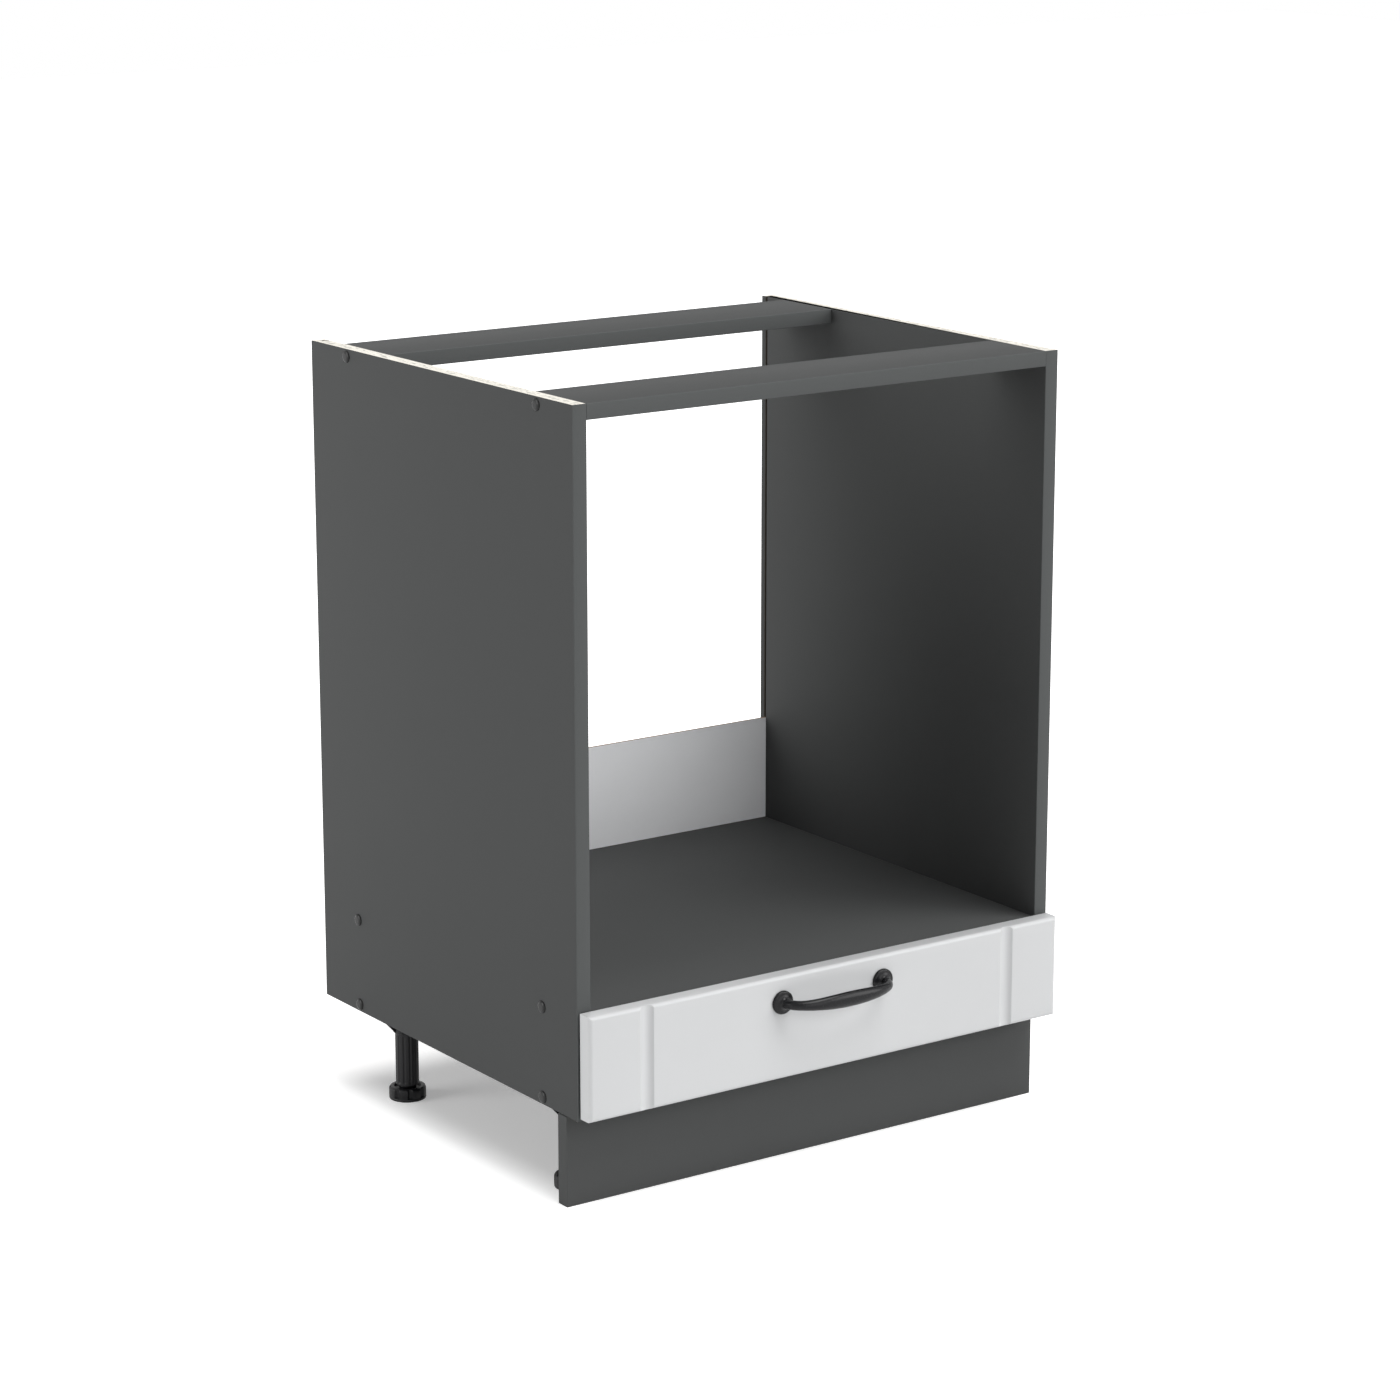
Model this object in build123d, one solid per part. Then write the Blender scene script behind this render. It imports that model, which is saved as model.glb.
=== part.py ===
from build123d import *
from math import asin, cos, pi, radians, sin
import os

# Oven housing base cabinet: an open carcass on adjustable legs with a low drawer under the
# oven shelf. All sizes are millimetres. Pieces are drawn with x = 0 in the middle, y = 0 at
# the front edges of the side panels (+y goes back) and z = 0 at the carcass underside.
# The finished pieces are then moved so that the origin is on the floor, under the middle.

# Carcass boards
WIDTH = 600.0
HEIGHT = 720.0
DEPTH = 500.0
BOARD = 16.0
EDGE_BAND = 0.8
DRAWER_BAY = 79.0
TOP_RAIL = 90.0
REAR_RAIL_INSET = 41.0
STRIP_HEIGHT = 230.0
STRIP_BOARD = 3.0
STRIP_INSET = 7.5
GROOVE_DEPTH = 8.0
GROOVE_PLAY = 0.3

# Carcass fixings
SCREW_FRONT = 64.0
SCREW_REAR = 73.0
SCREW_LENGTH = 50.0
SCREW_DIAMETER = 7.0
SCREW_HEAD = 10.0
SOCKET_DIAMETER = 4.0
SOCKET_DEPTH = 3.0
CAP_DIAMETER = 13.0
CAP_HEIGHT = 2.2
CAP_RIM = 0.6
CAP_FLAT = 6.0
DOWEL_DIAMETER = 8.0
DOWEL_LENGTH = 30.0
DOWEL_IN_SIDE = 11.0
DOWEL_PITCH = 40.0
STRIP_SCREWS = 3
FIT = 0.05

# Legs and plinth
LEG_HEIGHT = 97.0
LEG_FROM_SIDE = 40.0
FRONT_LEG = 70.0
REAR_LEG = 102.0
LEG_DIAMETER = 25.0
FOOT_STEM = 19.8
FOOT_STEM_LENGTH = 45.0
LEG_FLUTES = 12
FLUTE_DEPTH = 0.8
FLUTE_WIDTH = 3.4
SOCKET_PLATE = 64.0
SOCKET_PLATE_HEIGHT = 3.0
SLEEVE_WALL = 2.0
SLEEVE_HEIGHT = 22.0
SOCKET_SCREWS = 4
GUSSETS = 8
GUSSET_WALL = 2.2
GUSSET_MARGIN = 1.0
FOOT_DIAMETER = 40.0
FOOT_HEIGHT = 14.0
FOOT_ROUNDING = 3.0
FOOT_BASE = 3.0
FOOT_RIM = 5.5
FOOT_DISH = 2.5
FOOT_LOBES = 8
FOOT_NOTCH = 5.0
FOOT_PLAY = 0.3
LEVEL_UP = 1.5
PLINTH_SETBACK = 21.0
PLINTH_BOARD = 16.0
PLINTH_GAP = 1.0
CLIP_WALL = 2.4
CLIP_HEIGHT = 20.0
CLIP_PLATE = 44.0
CLIP_MOUTH = 100.0
CLIP_FROM_TOP = 50.0

# Small wood screws
WOOD_SCREW = 3.5
WOOD_SCREW_LENGTH = 13.0
WOOD_SCREW_HEAD = 6.4
WOOD_SCREW_HEAD_HEIGHT = 1.6

# Drawer front and handle
FRONT_GAP = 2.0
FRONT_BOARD = 18.0
FRONT_MARGIN = 1.5
FRONT_LIFT = 3.5
FRONT_HEIGHT = 110.0
FRONT_ROUNDING = 3.0
COVE_FROM_MIDDLE = 230.0
COVE_WIDTH = 19.0
COVE_DEPTH = 2.7
HANDLE_SPACING = 128.0
HANDLE_DROP = 27.5
HANDLE_REACH = 30.5
HANDLE_SQUARENESS = 2.7
GRIP_HEIGHT = 16.2
GRIP_DEPTH = 10.0
GRIP_SWELL = 112.0
GRIP_SWELL_POWER = 1.5
NECK = 10.0
ROSETTE = 25.0
ROSETTE_EDGE = 1.2
ROSETTE_ROUNDING = 2.4
ROSETTE_HEIGHT = 10.0
ROSETTE_HOLLOW = 0.3
ROSETTE_TUCK = 1.0
HANDLE_SCREW = 4.0
HANDLE_SCREW_DEPTH = 9.0
HANDLE_SCREW_SPARE = 1.0
HANDLE_SCREW_HEAD = 8.0
HANDLE_SCREW_HEAD_HEIGHT = 2.2
HANDLE_SCREW_HEAD_BEVEL = 1.0
HANDLE_SCREW_PLAY = 0.25
BUMPER = 8.0
BUMPER_PLAY = 0.3

# Drawer box and runners, all of thin steel but the base and the back
RUNNER_LIFT = 8.0
RUNNER_SETBACK = 3.0
RUNNER_REAR_GAP = 47.0
STEEL = 1.2
ROLLER_DIAMETER = 17.0
ROLLER_WIDTH = 7.0
ROLLER_PLAY = 0.3
ROLLER_GROOVE = 0.6
PIN_DIAMETER = 5.0
PIN_HEAD = 7.5
PIN_HEAD_HEIGHT = 0.7
FRONT_ROLLER = 14.0
FRONT_ROLLER_CLEAR = 3.0
REAR_ROLLER = 12.0
STOP_LUG = 5.0
RUNNER_FLANGE = 11.0
RUNNER_PLAY = 0.8
RUNNER_SCREW = 5.0
RUNNER_SCREW_LENGTH = 11.0
RUNNER_SCREW_HEAD = 9.0
RUNNER_SCREW_HEAD_HEIGHT = 1.0
RUNNER_SCREWS = 3
RUNNER_SCREW_FROM_END = 32.0
DRAWER_TRAVEL = 350.0
WALL_HEIGHT = 54.0
WALL_TOP_ROUNDING = 2.5
SKIRT_HEIGHT = 28.0
BASE_LIP = 16.0
BASE_PLAY = 0.3
BACK_HEIGHT = 36.0
BACK_FROM_END = 2.0
BASE_SCREWS = 4
BRACKET_ARM = 38.0
BRACKET_PLATE = 2.0
BRACKET_HEIGHT = 26.0
BRACKET_BEVEL = 6.5
BRACKET_HOLES = 15.0

# Overrun of a cutting shape past the face that it cuts
OVERCUT = 1.0

# Places that follow from the sizes above
OUTER = WIDTH / 2
INNER = OUTER - BOARD
SHELF_Z = BOARD + DRAWER_BAY
STRIP_Y = DEPTH - STRIP_INSET - STRIP_BOARD
BOARD_END_Y = STRIP_Y - GROOVE_PLAY / 2
REAR_RAIL_Y = DEPTH - REAR_RAIL_INSET - TOP_RAIL
SCREW_REAR_Y = DEPTH - SCREW_REAR
LEG_X = OUTER - LEG_FROM_SIDE
REAR_LEG_Y = DEPTH - REAR_LEG
RUNNER_END_Y = DEPTH - RUNNER_REAR_GAP
RUNNER_LENGTH = RUNNER_END_Y - RUNNER_SETBACK
FRONT_BACK_Y = -FRONT_GAP
FRONT_FACE_Y = FRONT_BACK_Y - FRONT_BOARD
HANDLE_Z = FRONT_LIFT + FRONT_HEIGHT - HANDLE_DROP
GRIP_Y = FRONT_FACE_Y - HANDLE_REACH
PLINTH_BACK_Y = PLINTH_SETBACK + PLINTH_BOARD
FOOT_TOP_Z = FOOT_HEIGHT - LEG_HEIGHT
TUBE_END_Z = FOOT_TOP_Z + LEVEL_UP + FOOT_PLAY
CLIP_Z = -CLIP_FROM_TOP

# Runner section, measured inwards from the inner face of a side panel
ROLLER_RADIUS = ROLLER_DIAMETER / 2
TRACK_Z = BOARD + RUNNER_LIFT + STEEL
DRAWER_ROLLER_Z = TRACK_Z + ROLLER_PLAY + ROLLER_RADIUS
CHANNEL_TOP_Z = TRACK_Z + ROLLER_DIAMETER + 2 * ROLLER_PLAY + STEEL
RIDER_Z = CHANNEL_TOP_Z + RUNNER_PLAY
CABINET_ROLLER_Z = RIDER_Z - ROLLER_PLAY - ROLLER_RADIUS
CABINET_SCREW_Z = (TRACK_Z - STEEL + CHANNEL_TOP_Z) / 2
WEB_IN = RUNNER_FLANGE + RUNNER_PLAY
WALL_IN = WEB_IN + STEEL
ROLLER_IN = (STEEL + WEB_IN - ROLLER_WIDTH) / 2
SKIRT_IN = RUNNER_PLAY + STEEL
LIP_Z = TRACK_Z + RUNNER_PLAY
BASE_Z = LIP_Z + STEEL
WALL_TOP_Z = LIP_Z + WALL_HEIGHT
BASE_HALF = INNER - WALL_IN - STEEL - BASE_PLAY
WALL_START_Y = FRONT_BACK_Y + BRACKET_PLATE + BASE_PLAY
WALL_END_Y = FRONT_BACK_Y + RUNNER_LENGTH
REAR_ROLLER_Y = WALL_END_Y - REAR_ROLLER
STOP_Y = REAR_ROLLER_Y - DRAWER_TRAVEL - ROLLER_RADIUS - ROLLER_PLAY
BACK_END_Y = WALL_END_Y - BACK_FROM_END
BRACKET_Z = (RIDER_Z + STEEL + WALL_TOP_Z - STEEL) / 2
BRACKET_SCREW_IN = (SKIRT_IN + STEEL + WALL_IN - BRACKET_PLATE) / 2

# The origin is on the floor, under the middle of everything, grip included
FRONTMOST_Y = GRIP_Y - GRIP_DEPTH / 2
MIDDLE_Y = (DEPTH + FRONTMOST_Y) / 2
FRAME = Pos(0, -MIDDLE_Y, LEG_HEIGHT)


def block(x0, x1, y0, y1, z0, z1):
    """A box between two values on each axis."""
    middle = ((x0 + x1) / 2, (y0 + y1) / 2, (z0 + z1) / 2)
    return Pos(*middle) * Box(abs(x1 - x0), abs(y1 - y0), abs(z1 - z0))


def rod(start, direction, radius, length):
    """A cylinder that leaves a point in a direction."""
    plane = Plane(origin=start, z_dir=direction)
    return plane * Cylinder(radius, length, align=(Align.CENTER, Align.CENTER, Align.MIN))


def turned(start, direction, outline):
    """A closed outline of (radius, distance) points, turned about an axis through a point."""
    face = make_face(Polyline(*[(r, d) for r, d in outline], close=True))
    solid = revolve(Plane.XZ * face, Axis.Z)
    return Plane(origin=start, z_dir=direction) * solid


def even(count, first, last):
    """Evenly spaced values from first to last."""
    return [first + (last - first) * i / (count - 1) for i in range(count)]


def group(solids):
    """Loose solids of one node."""
    return Compound([solid for shape in solids for solid in shape.solids()])


def right_of(shape):
    """The same piece for the right-hand side."""
    return mirror(shape, about=Plane.YZ)


def both_sides(shapes):
    """The given left-hand solids and their mirror images."""
    return [s for shape in shapes for s in (shape, right_of(shape))]


# Rows of fixings

def screw_spots():
    """(y, z) of the carcass screws in each side panel."""
    levels = (BOARD / 2, SHELF_Z + BOARD / 2, HEIGHT - BOARD / 2)
    return [(y, z) for z in levels for y in (SCREW_FRONT, SCREW_REAR_Y)]


def dowel_spots():
    """(y, z) of the dowels in each side panel."""
    spots = [(y, z) for z in (BOARD / 2, SHELF_Z + BOARD / 2)
             for y in (SCREW_FRONT + DOWEL_PITCH, SCREW_REAR_Y - DOWEL_PITCH)]
    rail_z = HEIGHT - BOARD / 2
    return spots + [(SCREW_FRONT - DOWEL_PITCH, rail_z), (SCREW_REAR_Y - DOWEL_PITCH, rail_z)]


def leg_spots():
    """(x, y) of the left-hand legs."""
    return {"front": (-LEG_X, FRONT_LEG), "rear": (-LEG_X, REAR_LEG_Y)}


def plate_screw_spots():
    """Places of the four screws of a left-hand leg socket, around the leg's axis and between
    its gussets, clear of the carcass screws and dowels."""
    reach = (LEG_DIAMETER / 2 + SLEEVE_WALL + SOCKET_PLATE / 2) / 2
    step = 360 / GUSSETS
    first = step + step / 2
    angles = [radians(first + i * 360 / SOCKET_SCREWS) for i in range(SOCKET_SCREWS)]
    return [(reach * cos(a), reach * sin(a)) for a in angles]


def runner_screw_places():
    """y places of the screws of a cabinet rail."""
    return even(RUNNER_SCREWS, RUNNER_SETBACK + RUNNER_SCREW_FROM_END,
                RUNNER_END_Y - RUNNER_SCREW_FROM_END)


# Carcass

def side_panel():
    """Left side panel with its groove, screw holes, dowel holes and runner pilot holes."""
    panel = block(-OUTER, -INNER, EDGE_BAND, DEPTH, 0, HEIGHT)
    groove_y = STRIP_Y - GROOVE_PLAY / 2
    panel -= block(-INNER - GROOVE_DEPTH, -INNER + OVERCUT, groove_y,
                   groove_y + STRIP_BOARD + GROOVE_PLAY, -OVERCUT, HEIGHT + OVERCUT)
    for y, z in screw_spots():
        panel -= turned((-OUTER, y, z), (1, 0, 0), screw_outline(FIT, BOARD + OVERCUT))
    for y, z in dowel_spots():
        panel -= rod((-INNER, y, z), (-1, 0, 0), DOWEL_DIAMETER / 2 + FIT, DOWEL_IN_SIDE)
    for y in runner_screw_places():
        panel -= rod((-INNER, y, CABINET_SCREW_Z), (-1, 0, 0), RUNNER_SCREW / 2 + FIT,
                     RUNNER_SCREW_LENGTH)
    return panel


def drilled_board(y0, y1, z0, spots, dowels):
    """A board between the side panels, drilled at both ends for its screws and dowels."""
    board = block(-INNER, INNER, y0 + EDGE_BAND, y1, z0, z0 + BOARD)
    screw_depth = SCREW_LENGTH - BOARD + FIT
    dowel_depth = DOWEL_LENGTH - DOWEL_IN_SIDE + FIT
    drills = [rod((-INNER, y, z), (1, 0, 0), SCREW_DIAMETER / 2 + FIT, screw_depth)
              for y, z in spots]
    drills += [rod((-INNER, y, z), (1, 0, 0), DOWEL_DIAMETER / 2 + FIT, dowel_depth)
               for y, z in dowels]
    for drill in both_sides(drills):
        board -= drill
    return board


def level_spots(spots, z0, y0, y1):
    """Those of the spots that lie in one board."""
    return [(y, z) for y, z in spots if z0 < z < z0 + BOARD and y0 < y < y1]


def cross_board(z0, y0, y1):
    """A board between the side panels, from its height and its front and rear edges."""
    screws = level_spots(screw_spots(), z0, y0, y1)
    dowels = level_spots(dowel_spots(), z0, y0, y1)
    return drilled_board(y0, y1, z0, screws, dowels)


def strip_screw_spots():
    """(x, z) of the small screws that hold the back strip."""
    reach = INNER - DOWEL_PITCH
    return [(x, z) for x in even(STRIP_SCREWS, -reach, reach)
            for z in (BOARD / 2, SHELF_Z + BOARD / 2)]


def with_strip_holes(board, z0):
    """A board with pilot holes in its rear edge for the screws of the back strip."""
    depth = WOOD_SCREW_LENGTH - STRIP_BOARD
    for x, z in strip_screw_spots():
        if z0 < z < z0 + BOARD:
            board -= rod((x, BOARD_END_Y, z), (0, -1, 0), WOOD_SCREW / 2 + FIT, depth)
    return board


def bottom_panel():
    """Bottom panel, with pilot holes for the leg sockets."""
    panel = with_strip_holes(cross_board(0, 0, BOARD_END_Y), 0)
    depth = WOOD_SCREW_LENGTH - SOCKET_PLATE_HEIGHT
    drills = [rod((x + dx, y + dy, 0), (0, 0, 1), WOOD_SCREW / 2 + FIT, depth)
              for x, y in leg_spots().values() for dx, dy in plate_screw_spots()]
    for drill in both_sides(drills):
        panel -= drill
    return panel


def back_strip():
    """Thin strip that closes the back up to just above the oven shelf."""
    half = INNER + GROOVE_DEPTH - GROOVE_PLAY
    strip = block(-half, half, STRIP_Y, STRIP_Y + STRIP_BOARD, 0, STRIP_HEIGHT)
    for x, z in strip_screw_spots():
        strip -= rod((x, STRIP_Y - OVERCUT, z), (0, 1, 0), WOOD_SCREW / 2 + FIT,
                     STRIP_BOARD + 2 * OVERCUT)
    return strip


def edge_bands():
    """Bands on the front edges of the side panels and of the boards between them."""
    sides = both_sides([block(-OUTER, -INNER, 0, EDGE_BAND, 0, HEIGHT)])
    places = [(0, 0), (0, SHELF_Z), (0, HEIGHT - BOARD), (REAR_RAIL_Y, HEIGHT - BOARD)]
    boards = [block(-INNER, INNER, y, y + EDGE_BAND, z, z + BOARD) for y, z in places]
    return group(sides + boards)


# Fixings of the carcass

def screw_outline(clearance, length):
    """Half outline of a countersunk carcass screw or of its hole, from its head inwards."""
    head = SCREW_HEAD / 2 + clearance
    shank = SCREW_DIAMETER / 2 + clearance
    cone = head - shank
    return [(0, 0), (head, 0), (shank, cone), (shank, length), (0, length)]


def carcass_screws():
    """Screws through the side panels, with a socket in each head."""
    solids = []
    for y, z in screw_spots():
        screw = turned((-OUTER, y, z), (1, 0, 0), screw_outline(0, SCREW_LENGTH))
        screw -= rod((-OUTER, y, z), (1, 0, 0), SOCKET_DIAMETER / 2, SOCKET_DEPTH)
        solids.append(screw)
    return group(both_sides(solids))


def cap_outline():
    """Half outline of a cover cap on the z axis: stem below, and above it a low rim that curves
    in to a flat top."""
    rim = CAP_DIAMETER / 2
    flat = CAP_FLAT / 2
    stem = SOCKET_DIAMETER / 2 - FIT
    drop = CAP_HEIGHT - CAP_RIM
    bend = ((rim - flat) ** 2 + drop ** 2) / (2 * drop)
    half = asin((rim - flat) / bend) / 2
    middle = (flat + bend * sin(half), CAP_HEIGHT - bend * (1 - cos(half)))
    depth = SOCKET_DEPTH - FIT
    outline = Polyline((0, CAP_HEIGHT), (0, -depth), (stem, -depth), (stem, 0), (rim, 0),
                       (rim, CAP_RIM))
    outline += ThreePointArc((rim, CAP_RIM), middle, (flat, CAP_HEIGHT))
    return outline + Line((flat, CAP_HEIGHT), (0, CAP_HEIGHT))


def cover_caps():
    """Rounded caps pressed into the screw heads."""
    cap = revolve(Plane.XZ * make_face(cap_outline()), Axis.Z)
    return group(both_sides([Plane(origin=(-OUTER, y, z), z_dir=(-1, 0, 0)) * cap
                             for y, z in screw_spots()]))


def wooden_dowels():
    """Dowels that line the boards up with the side panels."""
    start = -INNER - DOWEL_IN_SIDE + FIT
    length = DOWEL_LENGTH - 2 * FIT
    solids = [rod((start, y, z), (1, 0, 0), DOWEL_DIAMETER / 2, length)
              for y, z in dowel_spots()]
    return group(both_sides(solids))


def wood_screw(start, direction):
    """A pan-head screw whose head stands on the given point, with its shank going in."""
    outline = [(0, -WOOD_SCREW_HEAD_HEIGHT),
               (WOOD_SCREW_HEAD / 2 - WOOD_SCREW_HEAD_HEIGHT / 2, -WOOD_SCREW_HEAD_HEIGHT),
               (WOOD_SCREW_HEAD / 2, -WOOD_SCREW_HEAD_HEIGHT / 2), (WOOD_SCREW_HEAD / 2, 0),
               (WOOD_SCREW / 2, 0), (WOOD_SCREW / 2, WOOD_SCREW_LENGTH - WOOD_SCREW),
               (0, WOOD_SCREW_LENGTH)]
    return turned(start, direction, outline)


def strip_screws():
    """Screws that hold the back strip to the boards in front of it."""
    head_y = STRIP_Y + STRIP_BOARD
    return group(wood_screw((x, head_y, z), (0, -1, 0)) for x, z in strip_screw_spots())


# Legs

def leg_socket(x, y):
    """Round plate with a gusseted sleeve that takes the leg tube."""
    bore = LEG_DIAMETER / 2 + FIT
    sleeve = LEG_DIAMETER / 2 + SLEEVE_WALL
    plate = SOCKET_PLATE / 2
    socket = rod((0, 0, 0), (0, 0, -1), plate, SOCKET_PLATE_HEIGHT)
    socket += rod((0, 0, 0), (0, 0, -1), sleeve, SLEEVE_HEIGHT)
    web = Plane.XZ * make_face(Polyline(
        (bore + FIT, -SOCKET_PLATE_HEIGHT / 2),
        (plate - GUSSET_MARGIN, -SOCKET_PLATE_HEIGHT / 2),
        (plate - GUSSET_MARGIN, -SOCKET_PLATE_HEIGHT), (sleeve, GUSSET_MARGIN - SLEEVE_HEIGHT),
        (bore + FIT, GUSSET_MARGIN - SLEEVE_HEIGHT), close=True))
    gusset = extrude(web, GUSSET_WALL / 2, both=True)
    for i in range(GUSSETS):
        socket += Rot(0, 0, i * 360 / GUSSETS) * gusset
    socket -= rod((0, 0, -SOCKET_PLATE_HEIGHT), (0, 0, -1), bore, SLEEVE_HEIGHT)
    for dx, dy in plate_screw_spots():
        socket -= rod((dx, dy, OVERCUT), (0, 0, -1), WOOD_SCREW / 2 + FIT,
                      SOCKET_PLATE_HEIGHT + 2 * OVERCUT)
    return Pos(x, y, 0) * socket


def leg_tube(x, y):
    """Fluted leg tube with a blind bore for the stem of the foot."""
    radius = LEG_DIAMETER / 2
    top_z = -SOCKET_PLATE_HEIGHT
    flute = (FLUTE_WIDTH ** 2 / 4 + FLUTE_DEPTH ** 2) / (2 * FLUTE_DEPTH)
    flute_end_z = -SLEEVE_HEIGHT - FLUTE_WIDTH
    tube = rod((0, 0, top_z), (0, 0, -1), radius, top_z - TUBE_END_Z)
    for i in range(LEG_FLUTES):
        angle = 2 * pi * (i + 0.5) / LEG_FLUTES
        reach = radius + flute - FLUTE_DEPTH
        tube -= rod((reach * cos(angle), reach * sin(angle), flute_end_z), (0, 0, -1), flute,
                    flute_end_z - TUBE_END_Z - FLUTE_WIDTH)
    stem_top_z = FOOT_TOP_Z + FOOT_STEM_LENGTH
    tube -= rod((0, 0, TUBE_END_Z - OVERCUT), (0, 0, 1), FOOT_STEM / 2 + FIT,
                stem_top_z + LEVEL_UP + 2 * OVERCUT - TUBE_END_Z)
    return Pos(x, y, 0) * tube


def levelling_foot(x, y):
    """Screw foot: a stem in the leg tube and a dished disc with grip notches."""
    radius = FOOT_DIAMETER / 2
    disc = rod((0, 0, -LEG_HEIGHT), (0, 0, 1), radius, FOOT_HEIGHT)
    disc = fillet(disc.edges().group_by(Axis.Z)[-1], FOOT_ROUNDING)
    disc -= rod((0, 0, FOOT_TOP_Z - FOOT_DISH), (0, 0, 1), radius - FOOT_RIM, FOOT_HEIGHT)
    base_z = FOOT_BASE - LEG_HEIGHT
    for i in range(FOOT_LOBES):
        angle = 2 * pi * (i + 0.5) / FOOT_LOBES
        disc -= rod((radius * cos(angle), radius * sin(angle), base_z), (0, 0, 1),
                    FOOT_NOTCH / 2, FOOT_HEIGHT)
    disc += rod((0, 0, base_z), (0, 0, 1), FOOT_STEM / 2,
                FOOT_HEIGHT - FOOT_BASE + FOOT_STEM_LENGTH)
    return Pos(x, y, 0) * disc


def leg_screws():
    """Screws that hold the leg sockets to the bottom panel."""
    return group(both_sides([wood_screw((x + dx, y + dy, -SOCKET_PLATE_HEIGHT), (0, 0, 1))
                             for x, y in leg_spots().values()
                             for dx, dy in plate_screw_spots()]))


# Plinth

def clip_screw_spots():
    """x places of the two screws of the left plinth clip."""
    reach = CLIP_PLATE / 2 - WOOD_SCREW_HEAD
    return [-LEG_X - reach, -LEG_X + reach]


def plinth_panel():
    """Plinth board that stands on the floor in front of the legs."""
    panel = block(-OUTER, OUTER, PLINTH_SETBACK, PLINTH_BACK_Y, -LEG_HEIGHT, -PLINTH_GAP)
    depth = WOOD_SCREW_LENGTH - CLIP_WALL
    for x in clip_screw_spots():
        for sign in (1, -1):
            panel -= rod((sign * x, PLINTH_BACK_Y, CLIP_Z), (0, -1, 0), WOOD_SCREW / 2 + FIT,
                         depth)
    return panel


def plinth_clip():
    """Left spring clip: a C that snaps on the front leg, on a plate screwed to the plinth."""
    bore = LEG_DIAMETER / 2 + 2 * FIT
    outer = bore + CLIP_WALL
    low = CLIP_Z - CLIP_HEIGHT / 2
    ring = rod((0, 0, low), (0, 0, 1), outer, CLIP_HEIGHT)
    reach = PLINTH_BACK_Y - FRONT_LEG
    ring += block(-CLIP_WALL, CLIP_WALL, reach, -bore, low, low + CLIP_HEIGHT)
    ring += block(-CLIP_PLATE / 2, CLIP_PLATE / 2, reach, reach + CLIP_WALL, low,
                  low + CLIP_HEIGHT)
    ring -= rod((0, 0, low - OVERCUT), (0, 0, 1), bore, CLIP_HEIGHT + 2 * OVERCUT)
    half = radians(CLIP_MOUTH / 2)
    far = 2 * outer
    mouth = make_face(Polyline((0, 0), (far * sin(half), far * cos(half)),
                               (-far * sin(half), far * cos(half)), close=True))
    ring -= Pos(0, 0, low - OVERCUT) * extrude(mouth, CLIP_HEIGHT + 2 * OVERCUT)
    for x in clip_screw_spots():
        ring -= rod((x + LEG_X, reach - OVERCUT, CLIP_Z), (0, 1, 0), WOOD_SCREW / 2 + FIT,
                    CLIP_WALL + 2 * OVERCUT)
    return Pos(-LEG_X, FRONT_LEG, 0) * ring


def clip_screws():
    """Screws that hold the plinth clips to the plinth."""
    head_y = PLINTH_BACK_Y + CLIP_WALL
    return group(both_sides([wood_screw((x, head_y, CLIP_Z), (0, -1, 0))
                             for x in clip_screw_spots()]))


# Cabinet half of the runners

def cabinet_runner():
    """Left cabinet rail: a C of sheet steel, cut away on top where its roller sits, with a lug
    that stops the drawer's roller at full travel."""
    start = RUNNER_SETBACK
    end = RUNNER_END_Y
    clear = FRONT_ROLLER + ROLLER_RADIUS + FRONT_ROLLER_CLEAR
    rail = block(-INNER, -INNER + STEEL, start, end, TRACK_Z - STEEL, CHANNEL_TOP_Z)
    rail += block(-INNER, -INNER + RUNNER_FLANGE, start, end, TRACK_Z - STEEL, TRACK_Z)
    rail += block(-INNER, -INNER + RUNNER_FLANGE, clear, end, CHANNEL_TOP_Z - STEEL,
                  CHANNEL_TOP_Z)
    rail += block(-INNER, -INNER + RUNNER_FLANGE, STOP_Y - STEEL, STOP_Y,
                  CHANNEL_TOP_Z - STEEL - STOP_LUG, CHANNEL_TOP_Z)
    rail -= rod((-INNER - OVERCUT, FRONT_ROLLER, CABINET_ROLLER_Z), (1, 0, 0),
                PIN_DIAMETER / 2 + FIT, STEEL + 2 * OVERCUT)
    for y in runner_screw_places():
        rail -= rod((-INNER - OVERCUT, y, CABINET_SCREW_Z), (1, 0, 0), RUNNER_SCREW / 2 + FIT,
                    STEEL + 2 * OVERCUT)
    return rail


def runner_screws():
    """Flat-headed screws that hold the cabinet rails to the side panels."""
    head = RUNNER_SCREW_HEAD / 2
    shank = RUNNER_SCREW / 2
    outline = [(0, 0), (head, 0), (head, RUNNER_SCREW_HEAD_HEIGHT),
               (shank, RUNNER_SCREW_HEAD_HEIGHT),
               (shank, RUNNER_SCREW_HEAD_HEIGHT + RUNNER_SCREW_LENGTH),
               (0, RUNNER_SCREW_HEAD_HEIGHT + RUNNER_SCREW_LENGTH)]
    face_x = -INNER + STEEL + RUNNER_SCREW_HEAD_HEIGHT
    return group(both_sides([turned((face_x, y, CABINET_SCREW_Z), (-1, 0, 0), outline)
                             for y in runner_screw_places()]))


def roller(y, z):
    """Left nylon roller with a shallow groove in its tread."""
    x = -INNER + ROLLER_IN
    bore = PIN_DIAMETER / 2 + FIT
    quarter = ROLLER_WIDTH / 4
    outline = [(bore, 0), (ROLLER_RADIUS, 0), (ROLLER_RADIUS, quarter),
               (ROLLER_RADIUS - ROLLER_GROOVE, 2 * quarter - ROLLER_GROOVE / 2),
               (ROLLER_RADIUS - ROLLER_GROOVE, 2 * quarter + ROLLER_GROOVE / 2),
               (ROLLER_RADIUS, 3 * quarter), (ROLLER_RADIUS, ROLLER_WIDTH),
               (bore, ROLLER_WIDTH)]
    return turned((x, y, z), (1, 0, 0), outline)


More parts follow.
